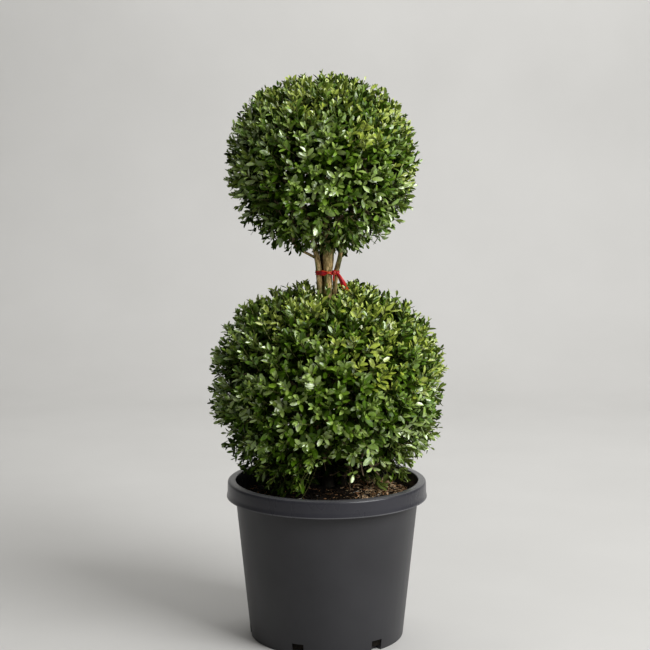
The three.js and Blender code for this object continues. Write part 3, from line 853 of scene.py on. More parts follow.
def depth_in(ball, points):
    """How far out points lie in a ball: 1 is the clipped surface."""
    x, y, z = np.moveaxis(points - np.array(ball["centre"]), -1, 0)
    power = np.where(z > 0, *ball["powers"])
    level = np.hypot(x, y) / ball["radius"]
    height = np.abs(z) / np.where(z > 0, ball["up"], ball["down"])
    return (level**power + height**power) ** (1 / power)


def point_of(ball, ways, shares):
    """Points at shares of the way out from a ball's centre."""
    surface = 1 / depth_in(ball, np.array(ball["centre"]) + unit(ways))
    return np.array(ball["centre"]) + unit(ways) * (surface * shares)[..., None]


def lowest_leaf(points):
    """How low leaves reach over the soil: nearly down to it, but not at the bare places in front."""
    reach = np.hypot(points[:, 0], points[:, 1])
    turn = np.degrees(np.arctan2(points[:, 0], -points[:, 1]))
    over = [height * np.exp(-(((turn - middle) / half) ** 6)) for middle, half, height in BARE_UNDER]
    return soil_top(reach) + NEAREST_SOIL + np.where(reach > BARE_FROM, np.max(over, axis=0), 0)


def is_free(ball, points, room):
    """True where points are inside the ball and free of limbs, pot, soil and the bare places in front."""
    inside = depth_in(ball, points) <= MOST_OUT
    near = [np.min(np.linalg.norm(limb_spots[:, :3] - point, axis=1) - limb_spots[:, 3]) for point in points]
    reach = np.hypot(points[:, 0], points[:, 1])
    in_rim = (points[:, 2] > POT_HEIGHT + OVER_RIM) | (reach < wall_inner(POT_HEIGHT) - INSIDE_RIM)
    return inside & (np.array(near) > room) & in_rim & (points[:, 2] > lowest_leaf(points))


def directions(chance, count, jitter=0.08):
    """Directions spread evenly over a ball, each turned a little at random."""
    golden = math.pi * (3 - math.sqrt(5))
    step = np.arange(count)
    height = 1 - (2 * step + 1) / count
    ring = np.sqrt(1 - height**2)
    ways = np.stack([ring * np.cos(golden * step), ring * np.sin(golden * step), height], -1)
    return unit(ways + chance.uniform(-jitter, jitter, (count, 3)))


print("Balls", [2 * ball["radius"] for ball in BALLS.values()], "m across")

# %% Twigs that reach the surface
ROOT_SHARE = 0.6
FORK_ANGLE = math.radians(46)
FARTHEST = 0.4  # longer than any twig
HALVINGS = 26


def side_of(chance, ways):
    """A direction across each of several ones, at a random turn."""
    return unit(np.cross(chance.normal(size=ways.shape), ways))


def leaned(ways, sides, angles):
    """Directions leaned away from others by angles."""
    angles = np.broadcast_to(angles, ways.shape[:-1])[..., None]
    return ways * np.cos(angles) + sides * np.sin(angles)


def run_to(ball, starts, ways, shares):
    """How far to go from points along directions to reach a depth in the ball."""
    low, high = np.zeros(len(starts)), np.full(len(starts), FARTHEST)
    for _ in range(HALVINGS):
        middle = (low + high) / 2
        short = depth_in(ball, starts + ways * middle[:, None]) < shares
        low, high = np.where(short, middle, low), np.where(short, high, middle)
    return low


def twig(starts, ends, bows, radii):
    """Twigs as bowed lines: where they start and end, how far their middle sags, and radii at the ends."""
    return {"start": starts, "end": ends, "bow": bows, "radii": radii}


def on_twig(twigs, share):
    """Points on twigs at a share of their length, and the way they run there."""
    share = np.broadcast_to(share, len(twigs["start"]))[:, None]
    run = twigs["end"] - twigs["start"]
    points = twigs["start"] + run * share + twigs["bow"] * 4 * share * (1 - share)
    ways = unit(run + twigs["bow"] * 4 * (1 - 2 * share))
    return points, ways


print("Twigs fork by", round(math.degrees(FORK_ANGLE)), "degrees")

# %% [markdown]
# ## The leaves
# A box leaf is a small stiff oval, 15 to 22 mm long, shiny and dark above, paler and dull below, with one
# clear midrib. A small grid, two faces wide and four long, is drawn in to the leaf's outline and doubled
# for the underside. Leaves deeper in the ball are seen less, so they get a grid of three or two rows. Each
# copy is then cupped and curled by its own amount, because equal leaves would catch the light all at once.

# %% One leaf
LEAF_ROWS = ((0.0, 0.0), (0.27, 0.155), (0.58, 0.212), (0.86, 0.140), (1.0, 0.0))  # share along, half width
LOW_LEAF_ROWS = ((0.0, 0.0), (0.36, 0.195), (0.77, 0.180), (1.0, 0.0))
SHADE_LEAF_ROWS = ((0.0, 0.0), (0.55, 0.24), (1.0, 0.0))
LEAF_THICKNESS = 0.03  # at the midrib, against the length


def leaf(rows):
    """A leaf as long as 1 along Y, closed, with UVs across and along: points, triangles, sides and UVs."""
    bm = bmesh.new()
    bmesh.ops.create_grid(bm, x_segments=2, y_segments=len(rows) - 1, size=0.5)
    for vert in bm.verts:
        along, half = rows[round((vert.co.y + 0.5) * (len(rows) - 1))]
        vert.co = Vector((2 * vert.co.x * half, along, 0))
    bmesh.ops.remove_doubles(bm, verts=bm.verts, dist=1e-4)
    bmesh.ops.dissolve_degenerate(bm, edges=bm.edges, dist=1e-5)
    under = bmesh.ops.duplicate(bm, geom=bm.faces[:])["geom"]
    bmesh.ops.reverse_faces(bm, faces=[part for part in under if isinstance(part, bmesh.types.BMFace)])
    for part in under:
        if isinstance(part, bmesh.types.BMFace):
            part.material_index = 1
        if isinstance(part, bmesh.types.BMVert) and abs(part.co.x) < 1e-6 and 0 < part.co.y < 1:
            part.co.z = -LEAF_THICKNESS
    bmesh.ops.remove_doubles(bm, verts=bm.verts, dist=1e-4)
    bmesh.ops.triangulate(bm, faces=bm.faces)
    bm.verts.index_update()
    shape = np.array([vert.co for vert in bm.verts])
    triangles = np.array([[vert.index for vert in face.verts] for face in bm.faces])
    below = np.array([face.material_index for face in bm.faces])
    bm.free()
    uv = shape[triangles][..., :2] + (0.5, 0)
    return {"shape": shape, "triangles": triangles, "below": below, "uv": uv}


full_leaf, low_leaf, shade_leaf = [leaf(rows) for rows in (LEAF_ROWS, LOW_LEAF_ROWS, SHADE_LEAF_ROWS)]
print("Triangles of the leaves:", [len(make["triangles"]) for make in (full_leaf, low_leaf, shade_leaf)])

# %% [markdown]
# ## The leaves' finishes
# Old box leaves are nearly black green and new ones a pale fresh green. A yellow green is painted on leaves
# where light would shine through them, as a glow. A plant hands its colour out by shoots, so each tone is a
# finish of its own and every shoot is dealt one. All share the same make: a waxy surface with a soft gloss,
# a paler midrib, faint side veins and slight blotches. Of the greens, the darker one is, the less its wax
# shines, because old leaves are weathered.

# %% The leaves' finishes
LEAF_TONES = [  # name, colour, share of the light that the wax throws back
    ("leaf_deep", (0.011, 0.023, 0.001), 0.001),
    ("leaf_dark", (0.022, 0.048, 0.001), 0.004),
    ("leaf_green", (0.053, 0.116, 0.001), 0.024),
    ("leaf_fresh", (0.136, 0.244, 0.006), 0.12),
    ("leaf_bright", (0.262, 0.390, 0.050), 0.21),
    ("leaf_yellow", (0.335, 0.420, 0.036), 0.13),
]
BRIGHT = 4  # the tone that turns yellow on the backlit shoots, a painted glow of light through the leaves
UNDER_TONES = [
    ("underside_dark", (0.042, 0.074, 0.006), 0.012),
    ("underside_pale", (0.140, 0.195, 0.025), 0.03),
]
PALE_UNDER = 3  # the first tone whose leaves are pale below
TOP_GLOSS = 0.42
UNDER_GLOSS = 0.6
GLOSS_SPREAD = 0.12
BLOTCH_WAVES = 140
BLOTCHES = (0.72, 1.30)  # the darkest and the lightest ones against a leaf's tone
RIB_FADE = 26  # the midrib fades out over the leaf's length divided by this
RIB_TONE, RIB_LIFT = 1.7, 0.01  # the midrib's colour is the leaf's times the first, plus the second
RIB_SHARE = 0.55
VEIN_WAVES = 60
VEIN_HEIGHT = 0.12  # against the midrib's


def leaf_finish(name, colour, shine, gloss):
    """Waxy: blotches, a pale midrib and faint side veins."""
    finish = new_finish(name, colour, gloss, IOR=(1 + shine**0.5) / (1 - shine**0.5))
    places = add(finish, "SeparateXYZ", Vector=add(finish, "UVMap", {"uv_map": "leaf"}).outputs["UV"])
    off = counted(finish, "ABSOLUTE", counted(finish, "SUBTRACT", places.outputs["X"], 0.5))
    faded = counted(finish, "MINIMUM", counted(finish, "MULTIPLY", off, RIB_FADE), 1)
    rib = counted(finish, "SUBTRACT", 1, faded)
    slanted = counted(finish, "SUBTRACT", places.outputs["Y"], off)
    veins = counted(finish, "SINE", counted(finish, "MULTIPLY", slanted, VEIN_WAVES))
    blotches = noise_in(finish, BLOTCH_WAVES, 3)
    dark, light = [[value * share for value in colour] for share in BLOTCHES]
    pale = [min(value * RIB_TONE + RIB_LIFT, 1) for value in colour]
    body = ramp(finish, blotches, (0.32, dark), (0.68, light))
    feed(finish, "Base Color", mixed(finish, counted(finish, "MULTIPLY", rib, RIB_SHARE), body, pale))
    uneven = counted(finish, "MULTIPLY", blotches, GLOSS_SPREAD)
    feed(finish, "Roughness", counted(finish, "ADD", uneven, gloss - GLOSS_SPREAD / 2))
    raised = counted(finish, "SUBTRACT", counted(finish, "MULTIPLY", veins, VEIN_HEIGHT), rib)
    relief(finish, raised, 0.35, 0.0003)
    return finish


leaf_finishes = [leaf_finish(*tone, TOP_GLOSS) for tone in LEAF_TONES]
leaf_finishes += [leaf_finish(*tone, UNDER_GLOSS) for tone in UNDER_TONES]
print(len(leaf_finishes), "leaf finishes")

# %% [markdown]
# ## Leaves on a shoot
# Box leaves stand in pairs, each pair crossed with the next. At the tip they are small and hug the shoot,
# and further down they are larger and lean out. All turn their faces a little outwards and to the light.
# Placing each leaf by its own axes lets every one differ, which copies of one leafy shoot would not do.

# %% The leaves of a set of shoots
LEAF_LENGTH = 0.0180
LEAF_PAIRS = (  # from the tip down: lean in degrees, size, and how much darker in tone, for older leaves and as painted shade further in
    (16, 0.58, -1),
    (32, 0.82, 0),
    (44, 1.00, 0),
    (54, 1.05, 1),
    (62, 1.00, 2),
    (70, 0.94, 3),
)
PAIR_STEP = 0.0076
SHADE_PAIRS = ((50, 1.25, 0), (60, 1.35, 0), (66, 1.35, 0), (70, 1.3, 0), (74, 1.2, 0), (78, 1.2, 0))
SHADE_STEP = 0.0125
UPPER_PAIRS = 3  # those with the finer leaf
LEAF_ROOT = 0.001
LEAF_ROOM = 0.002  # between a leaf and what it must not touch
LEAFLESS = 0.05  # the share of a shoot next to its foot that bears no leaves
STEP_SPREAD = 0.25  # shares of a step that a pair may be off
TURN_SPREAD = 0.28  # radians round the shoot
LEAN_SPREAD = 11  # degrees
ROLL_SPREAD = 0.3  # radians round the leaf's own length
LENGTH_SPREAD, WIDTH_SPREAD = 0.13, 0.1
TONE_SHARES = (0.15, 0.65, 0.20)  # of leaves a tone darker than their shoot, as it, and a tone lighter
TIP_CUP, CUP, CUP_SPREAD = 0.45, 0.08, 0.2  # the two pairs at the tip are cupped most
CURL, CURL_SPREAD = 0.10, 0.12
LIGHT_WAY = unit(np.array([0.45, -0.58, 0.68]))
TURNED = (0.05, 0.8)  # how far leaves turn their faces outwards and to the light
BARER_BELOW = 1.4  # how fast the share of missing leaves grows towards a ball's underside


def leaves_on(chance, ball, twigs, tones, backlit, pairs, step, fallen, first=0):
    """Frames, places, bends and tones of the crossed pairs of leaves on twigs, from the first pair on."""
    count = len(twigs["start"])
    lengths = np.linalg.norm(twigs["end"] - twigs["start"], axis=1)
    first_side = side_of(chance, unit(twigs["end"] - twigs["start"]))
    parts = []
    for number, (lean, size, deeper) in enumerate(pairs, first):
        pair_off = chance.uniform(-STEP_SPREAD, STEP_SPREAD, count)
        share = 1 - (LEAF_ROOT + step * (number + pair_off)) / lengths
        points, ways = on_twig(twigs, np.clip(share, LEAFLESS, 1))
        for half in (0, 1):
            turn = np.pi * half + np.pi / 2 * number + chance.normal(0, TURN_SPREAD, count)
            side = unit(first_side - ways * np.sum(first_side * ways, -1, keepdims=True))
            side = side * np.cos(turn)[:, None] + np.cross(ways, side) * np.sin(turn)[:, None]
            angle = np.radians(lean + chance.normal(0, LEAN_SPREAD, count))
            way = leaned(ways, side, angle)
            face = leaned(ways, side, angle - np.pi / 2)
            out = unit(points - ball["centre"])
            face = unit(face + (LIGHT_WAY + out) * chance.uniform(*TURNED, count)[:, None])
            roll = chance.normal(0, ROLL_SPREAD, count)[:, None]
            across = unit(np.cross(way, face))
            across = across * np.cos(roll) + np.cross(way, across) * np.sin(roll)
            long = LEAF_LENGTH * size * chance.normal(1, LENGTH_SPREAD, count)
            wide = long * chance.normal(1, WIDTH_SPREAD, count)
            over = np.cross(across, way) * long[:, None]
            frames = np.stack([across * wide[:, None], way * long[:, None], over], -1)
            tone = np.clip(tones - deeper + chance.choice((-1, 0, 1), count, p=TONE_SHARES), 0, BRIGHT)
            # on backlit shoots the bright tone turns yellow, a painted glow
            tone = np.where(backlit & (tone == BRIGHT), BRIGHT + 1, tone)
            cup = chance.normal(TIP_CUP if number < 2 else CUP, CUP_SPREAD, count)
            curl = chance.normal(CURL, CURL_SPREAD, count)
            tips, middles = points + way * long[:, None], points + way * long[:, None] * 0.5
            keep = is_free(ball, tips, LEAF_ROOM) & is_free(ball, middles, LEAF_ROOM)
            keep &= share > LEAFLESS
            keep &= chance.random(count) > fallen * np.clip(-out[:, 2] * BARER_BELOW, 0, 1)
            parts.append([part[keep] for part in (frames, points, cup, curl, tone)])
    return [np.concatenate(part) for part in zip(*parts)]


def leaf_mesh(name, make, frames, places, cups, curls, tones):
    """Joined leaves of a make, each cupped along its midrib and curled along its length."""
    shapes = np.repeat(make["shape"][None], len(places), 0)
    x, y = np.abs(shapes[..., 0]), shapes[..., 1]
    shapes[..., 2] += cups[:, None] * x - curls[:, None] * y**2
    under = len(LEAF_TONES) + (tones >= PALE_UNDER)
    index = np.where(make["below"][None] == 1, under[:, None], tones[:, None])
    parts = (shapes, make["triangles"], frames, places, index, leaf_finishes, make["uv"])
    return arrayed(name, *parts, smooth_below=75)


print("A leaf is", LEAF_LENGTH * 1000, "mm long")

# %% [markdown]
# ## The twigs
# A box grows from a few boughs on its stems to thousands of fine shoots. Each bough here starts at the
# nearest stem and forks in two. Holders leave the nearest place on that wood, and each carries two shoots
# that bend upwards. The shoots stay back between clumps, because a clipped ball is never quite even.

# %% The main twigs
MAIN_SHOOTS = {"lower": 35, "upper": 28}
MAIN_TIP = 0.86
BOUGH_RISE = 0.05  # how far below its root point a bough leaves the stem
BOUGH = {"sag": 0.006, "radii": (0.0034, 0.0024)}
FORK = {"sag": 0.004, "radii": (0.0024, 0.0011)}


def sagging(starts, ends, sag, radii):
    """Twigs that all sag by the same amount."""
    return twig(starts, ends, np.array([0, 0, -sag]) * np.ones((len(starts), 1)), radii)


def chosen(twigs, keep):
    """Those of some twigs that are kept."""
    return twigs | {key: twigs[key][keep] for key in ("start", "end", "bow")}


def together(groups):
    """Several sets of twigs as one, with the radii of the last."""
    joined = {key: np.concatenate([group[key] for group in groups]) for key in ("start", "end", "bow")}
    return groups[-1] | joined


def grow_main(chance, name):
    """The boughs of one ball, from the nearest stem to the root points, and the two forks of each."""
    ball = BALLS[name]
    ways = directions(chance, MAIN_SHOOTS[name])
    roots = point_of(ball, ways, np.full(len(ways), ROOT_SHARE))
    drop = roots - (0, 0, BOUGH_RISE)
    nearest = np.argmin(np.linalg.norm(limb_spots[None, :, :3] - drop[:, None], axis=-1), axis=1)
    boughs = sagging(limb_spots[nearest, :3], roots, **BOUGH)
    side = side_of(chance, ways)
    forks = []
    for turn in (-0.5, 0.5):
        way = leaned(ways, side, FORK_ANGLE * turn)
        ends = roots + way * run_to(ball, roots, way, MAIN_TIP)[:, None]
        forks.append(sagging(roots, ends, **FORK))
    return boughs, together(forks)


print("Boughs:", MAIN_SHOOTS)

# %% The fine twigs
FINE_SHOOTS = {"lower": 820, "upper": 600}
FINE_ROOT = (0.66, 0.78)
WOOD_PLACES = np.linspace(0.15, 1, 9)  # shares of a bough or fork where holders may leave it
OUTWARD_COST = 0.5  # a holder rather starts further in than further out
HOLDER = {"sag": 0.003, "radii": (0.0014, 0.0011)}
FORK_SPREAD = (0.6, 1.15)
SHOOT_RADII = (0.0011, 0.0006)
SHOOT_SAG = 0.004
SHOOT_LEAST = 0.012
SHOOT_MOST_OUT = MOST_OUT - 0.005
TWIG_ROOM = 0.001  # between a twig and what it must not touch
MID_SHOOT = 0.6  # where that is looked at besides the tip
FINE_TIP = 1.0
TIP_SPREAD = 0.026
TIP_LEAF = 0.45  # share of a leaf's length by which the shoot ends short of the clipped surface
HOLLOWS = 0.30  # how far shoots stay back between clumps
HOLLOW_WAVES = 5.5
RISE = (-0.3, 0.9)  # how much shoots turn upwards, from the ball's underside to its top
RISE_BEND = 0.7


def grow_fine(chance, name, boughs, forks):
    """The fine twigs that the main ones carry: holders, and the two shoots at the end of each."""
    ball = BALLS[name]
    ways = directions(chance, FINE_SHOOTS[name], jitter=0.05)
    roots = point_of(ball, ways, chance.uniform(*FINE_ROOT, len(ways)))
    wood = [on_twig(group, share)[0] for group in (forks, boughs) for share in WOOD_PLACES]
    wood = np.concatenate(wood)
    apart = np.linalg.norm(wood[None] - roots[:, None], axis=-1)
    further_out = np.maximum(0, depth_in(ball, wood)[None] - depth_in(ball, roots)[:, None])
    nearest = np.argmin(apart + OUTWARD_COST * further_out, axis=1)
    holders = sagging(wood[nearest], roots, **HOLDER)
    side = side_of(chance, ways)
    hollow = np.array([max(0, noise.noise(Vector(way) * HOLLOW_WAVES)) for way in ways])
    shoots = []
    for turn in (-0.5, 0.5):
        angle = FORK_ANGLE * turn * chance.uniform(*FORK_SPREAD, len(ways))
        rise = RISE[0] + (RISE[1] - RISE[0]) * ((ways[:, 2] + 1) / 2) ** RISE_BEND
        way = unit(leaned(ways, side, angle) + rise[:, None] * np.array([0, 0, 1]))
        reach = FINE_TIP + chance.normal(0, TIP_SPREAD, len(ways)) - HOLLOWS * hollow
        for middle, wide, deep in DENTS:
            off = np.linalg.norm(point_of(ball, ways, np.ones(len(ways))) - middle, axis=1)
            reach -= deep * np.exp(-((off / wide) ** 2))
        full = run_to(ball, roots, way, np.minimum(reach, SHOOT_MOST_OUT))
        ends = roots + way * np.maximum(full - LEAF_LENGTH * TIP_LEAF, SHOOT_LEAST)[:, None]
        bow = np.array([0, 0, -1]) * chance.uniform(0, SHOOT_SAG, len(ways))[:, None]
        shoots.append(twig(roots, ends, bow, SHOOT_RADII))
    shoots = together(shoots)
    free = is_free(ball, shoots["end"], TWIG_ROOM)
    free &= is_free(ball, on_twig(shoots, MID_SHOOT)[0], TWIG_ROOM)
    return chosen(holders, is_free(ball, roots, TWIG_ROOM)), chosen(shoots, free)


print("Fine twigs in pairs:", FINE_SHOOTS)


# %% The mesh of the twigs
SLANT = np.array([0.3, 0.2, 0.93])  # a way that twigs hardly take, to measure their sides from


def twig_faces(rings, sides):
    """The triangles of one closed tube with so many rings and sides, ring after ring."""
    faces = []
    for ring in range(rings - 1):
        for corner in range(sides):
            a, b = ring * sides + corner, ring * sides + (corner + 1) % sides
            faces += [(a, b, b + sides), (a, b + sides, a + sides)]
    last = (rings - 1) * sides
    for corner in range(1, sides - 1):
        faces += [(0, corner + 1, corner), (last, last + corner, last + corner + 1)]
    return np.array(faces)


def twig_mesh(name, groups, finishes):
    """Joined three to six sided twigs that follow their bows, each group in its own finish."""
    all_points, all_faces, tones, offset = [], [], [], 0
    for twigs, rings, sides, tone in groups:
        count, size = len(twigs["start"]), rings * sides
        chain = []
        way = unit(twigs["end"] - twigs["start"])
        across = unit(np.cross(way, SLANT))
        other = np.cross(way, across)
        for ring in range(rings):
            share = ring / (rings - 1)
            middle = on_twig(twigs, share)[0]
            radius = twigs["radii"][0] + (twigs["radii"][1] - twigs["radii"][0]) * share
            for corner in range(sides):
                turn = 2 * math.pi * corner / sides
                chain.append(middle + radius * (across * math.cos(turn) + other * math.sin(turn)))
        faces = twig_faces(rings, sides)
        all_points.append(np.stack(chain, 1).reshape(-1, 3))
        all_faces.append((faces[None] + offset + size * np.arange(count)[:, None, None]).reshape(-1, 3))
        tones.append(np.full(count * len(faces), tone))
        offset += count * size
    mesh = bpy.data.meshes.new(name)
    mesh.from_pydata(np.concatenate(all_points), [], np.concatenate(all_faces))
    mesh.polygons.foreach_set("material_index", np.concatenate(tones).astype(np.int32))
    return shown(mesh, name, finishes, smooth_below=80)


twig_bark = crumb_finish("twig_bark", (0.10, 0.075, 0.045), (0.28, 0.21, 0.13), scale=500.0)
shoot_bark = crumb_finish("shoot_bark", (0.07, 0.085, 0.025), (0.17, 0.17, 0.06), scale=500.0)
print("Finishes of the twigs:", twig_bark.name, "and", shoot_bark.name)

# %% [markdown]
# ## The tones of the shoots
# Foliage is never one green. Shoots that face the light get brighter tones as painted light, and neighbours
# are alike. Low in front and on the right the tones are painted lighter, and low on the left darker as
# painted shade. At the underside the lower ball is painted lighter and the upper ball darker. On the upper
# right and back the brightest tone turns yellow green, a painted glow of light through the leaves. Tones
# dealt purely by chance would look like confetti, so they are a sum of these causes with only some chance on
# top. Fewer leaves are left at the undersides, where little light comes in.

# %% The tones of the shoots
BALL_TONES = {"lower": 2.62, "upper": 2.78}  # the commonest leaf tone of a ball
UNDERSIDE_PAINTED_TONES = {"lower": 1.2, "upper": -0.6}  # how much lighter the leaves at a ball's underside are painted: painted light on the lower ball, painted shade on the upper
# how much brighter shoots that face the light are painted
PAINTED_LIGHT_TONE = 0.8
PATCH_TONE = 1.4
PATCH_WAVES = 16
LOW_FROM, LOW_REACH, LOW_PAINTED_LIGHT = 0.40, 0.08, 1.2  # the low leaves in front and on the right are painted lighter as light
LEFT_FROM, LEFT_REACH, LEFT_PAINTED_SHADE = -0.01, 0.05, 3.4  # and those on the left this much darker as painted shade
CHANCE_TONE = 0.95
BACKLIT_WAY = unit(np.array([0.5, 0.2, 0.85]))  # on this side the leaves are painted yellow, as lit through from behind
BACKLIT_FROM = 0.25
BACKLIT_PATCH = 0.5


def shoot_tones(chance, name, tips):
    """The leaf tone of each shoot, with painted light and shade, and whether it is painted as backlit, from
    where its tip is.
    """
    out = unit(tips - np.array(BALLS[name]["centre"]))
    patch = np.array([noise.noise(Vector(tip) * PATCH_WAVES) for tip in tips])
    # shoots that face the light get brighter tones, painted light
    painted_lit = PAINTED_LIGHT_TONE * (out @ LIGHT_WAY)
    low = np.clip((LOW_FROM - tips[:, 2]) / LOW_REACH, 0, 1)
    left = np.clip((LEFT_FROM - tips[:, 0]) / LEFT_REACH, 0, 1)
    # low on the right the tones are painted lighter as light, low on the left darker as shade
    painted_low_tone = low * (LOW_PAINTED_LIGHT - LEFT_PAINTED_SHADE * left)
    # at the underside the lower ball is painted lighter and the upper darker
    below = UNDERSIDE_PAINTED_TONES[name] * np.clip(-out[:, 2], 0, 1)
    spread = chance.normal(0, CHANCE_TONE, len(tips))
    tones = BALL_TONES[name] + painted_lit + PATCH_TONE * patch + painted_low_tone + below + spread
    # shoots on the upper right and back are painted as lit through from behind
    backlit = out @ BACKLIT_WAY + BACKLIT_PATCH * patch > BACKLIT_FROM
    return np.clip(np.round(tones), 0, BRIGHT + 1).astype(int), backlit


print("The balls' commonest tones:", BALL_TONES)


# %% Grow both balls
MOST_TRIANGLES = 196000
FALLEN = {  # shares of the leaves missing at a ball's underside, on the outer shoots and inside
    "lower": (0.30, 0.20),
    "upper": (0.50, 0.85),
}
BALL_SEEDS = {"lower": 21, "upper": 22}


def leaf_pieces(name, node, make, leaves):
    """Leaves as joined pieces, each a wedge of the ball that stays under the most triangles."""
    order = np.argsort(np.arctan2(leaves[1][:, 1], leaves[1][:, 0]), kind="stable")
    pieces = math.ceil(len(order) * len(make["triangles"]) / MOST_TRIANGLES)
    for number, wedge in enumerate(np.array_split(order, pieces)):
        belongs(leaf_mesh(f"{name}_{number + 1}", make, *[part[wedge] for part in leaves]), "foliage", node)


for name, seed in BALL_SEEDS.items():
    ball, node, chance = BALLS[name], name + "_ball", np.random.default_rng(seed)
    boughs, forks = grow_main(chance, name)
    holders, shoots = grow_fine(chance, name, boughs, forks)
    # each set of twigs with its rings, its sides and its place among the finishes
    groups = [(boughs, 6, 6, 0), (forks, 5, 5, 0), (holders, 4, 4, 0), (shoots, 4, 3, 1)]
    belongs(twig_mesh(name + "_twigs", groups, [twig_bark, shoot_bark]), "foliage", node)
    tips = shoots["end"]
    tones, backlit = shoot_tones(chance, name, tips)
    fallen, fallen_inside = FALLEN[name]
    leafy = (chance, ball, shoots, tones, backlit)
    outer = leaves_on(*leafy, LEAF_PAIRS[:UPPER_PAIRS], PAIR_STEP, fallen)
    lower = leaves_on(*leafy, LEAF_PAIRS[UPPER_PAIRS:], PAIR_STEP, fallen, UPPER_PAIRS)
    inside = together([holders, forks, boughs])
    # the leaves inside all get the darkest tone, for old leaves and as painted shade, and none is painted as
    # backlit
    deep, not_backlit = np.zeros(len(inside["start"]), int), np.zeros(len(inside["start"]), bool)
    inner = leaves_on(chance, ball, inside, deep, not_backlit, SHADE_PAIRS, SHADE_STEP, fallen_inside)
    leaf_pieces(name + "_leaves", node, full_leaf, outer)
    leaf_pieces(name + "_low_leaves", node, low_leaf, lower)
    leaf_pieces(name + "_shade_leaves", node, shade_leaf, inner)
    print(name, "ball:", len(outer[0]) + len(lower[0]), "leaves on", len(tips), "shoots")
    print(name, "ball:", len(inner[0]), "leaves in the shade")

# %% [markdown]
# ## The ribbon
# The stems are held together by a red plastic ribbon. It is a long thin strip, so each run of it is a grid
# that is laid along a line: across the line it has its width, and it is creased lengthwise as such tape is
# when it is pulled tight. The band goes round the stems on the line that a stretched string would take,
# the knot is a short strip wound round the band, and two ends hang from it. Cloth simulation could drape
# the ends, but they are stiff and short enough to be given their line.

# %% The line round the stems
TIE_HEIGHT = 0.660
TIE_OFF_BARK = 0.0006
TAPE = 0.00035  # its thickness
HEIGHT_RINGS = 400  # places along a stem between which its middle at a height is found
LINE_TURNS = 720


def limb_at(limb, height):
    """The middle of a limb and its radius where it passes a height."""
    middles, radii, _ = limb_rings(limb, HEIGHT_RINGS)
    at = [np.interp(height, middles[:, 2], middles[:, axis]) for axis in (0, 1)]
    return np.array(at), np.interp(height, middles[:, 2], radii)


def line_round_stems(height, count):
    """Evenly spaced points of the tight line round the stems, from the back, and its outward ways."""
    stems = [limb_at(limb, height) for limb in LIMBS.values() if limb["rooted"]]
    line = []
    for turn in np.linspace(0, 2 * math.pi, LINE_TURNS + 1) + math.pi / 2:
        way = np.array([math.cos(turn), math.sin(turn)])
        middle, radius = max(stems, key=lambda stem: stem[0] @ way + stem[1])
        line.append([*(middle + way * (radius + TIE_OFF_BARK)), height])
    points, ways = resampled(np.array(line), np.arange(count) / count)
    return points, np.stack([ways[:, 1], -ways[:, 0], ways[:, 2]], -1)


BAND_STEPS = 360

band_line, band_faces = line_round_stems(TIE_HEIGHT, BAND_STEPS)
band_length = np.linalg.norm(np.diff(band_line, axis=0), axis=1).sum()
print("The ribbon goes", round(float(band_length * 1000)), "mm round")


# %% Laying a ribbon
def laid_ribbon(bm, place_at, steps, rows=12):
    """Adds a strip whose points are given by a function of the share along it and the side, from -1 to 1."""
    grid = bmesh.ops.create_grid(bm, x_segments=steps, y_segments=rows, size=0.5, calc_uvs=True)["verts"]
    for vert in grid:
        vert.co = Vector(place_at(vert.co.x + 0.5, 2 * vert.co.y))
    bmesh.ops.remove_doubles(bm, verts=grid, dist=1e-6)


def ribbon_piece(name, runs):
    """Several runs of ribbon as one piece with the tape's thickness."""
    bm = bmesh.new()
    bm.loops.layers.uv.new("ribbon")
    for place_at, steps in runs:
        laid_ribbon(bm, place_at, steps)
    bmesh.ops.recalc_face_normals(bm, faces=bm.faces)
    bmesh.ops.solidify(bm, geom=bm.faces[:], thickness=TAPE)
    bmesh.ops.recalc_face_normals(bm, faces=bm.faces)
    return shown(mesh_of(bm, name), name, [red_ribbon], smooth_below=50)


# %% The ribbon's finish
TWIST_X = 0.0035  # where the band is twisted, over the middle stem
TWIST_FADE = 200  # the painted glow of light through the tape there fades out over a metre divided by this
TIP_FROM, TIP_FADE = 0.8, 4  # the share of a run's length from which a painted glow of light through it turns it orange, and how fast
# the most of the painted orange glow
MOST_PAINTED_GLOW = 0.85
EDGE_GLOW_SHARE, WEAR_SHARE = 1.4, 0.5  # how much the edges, as a painted glow through the thin tape, and wear lighten it


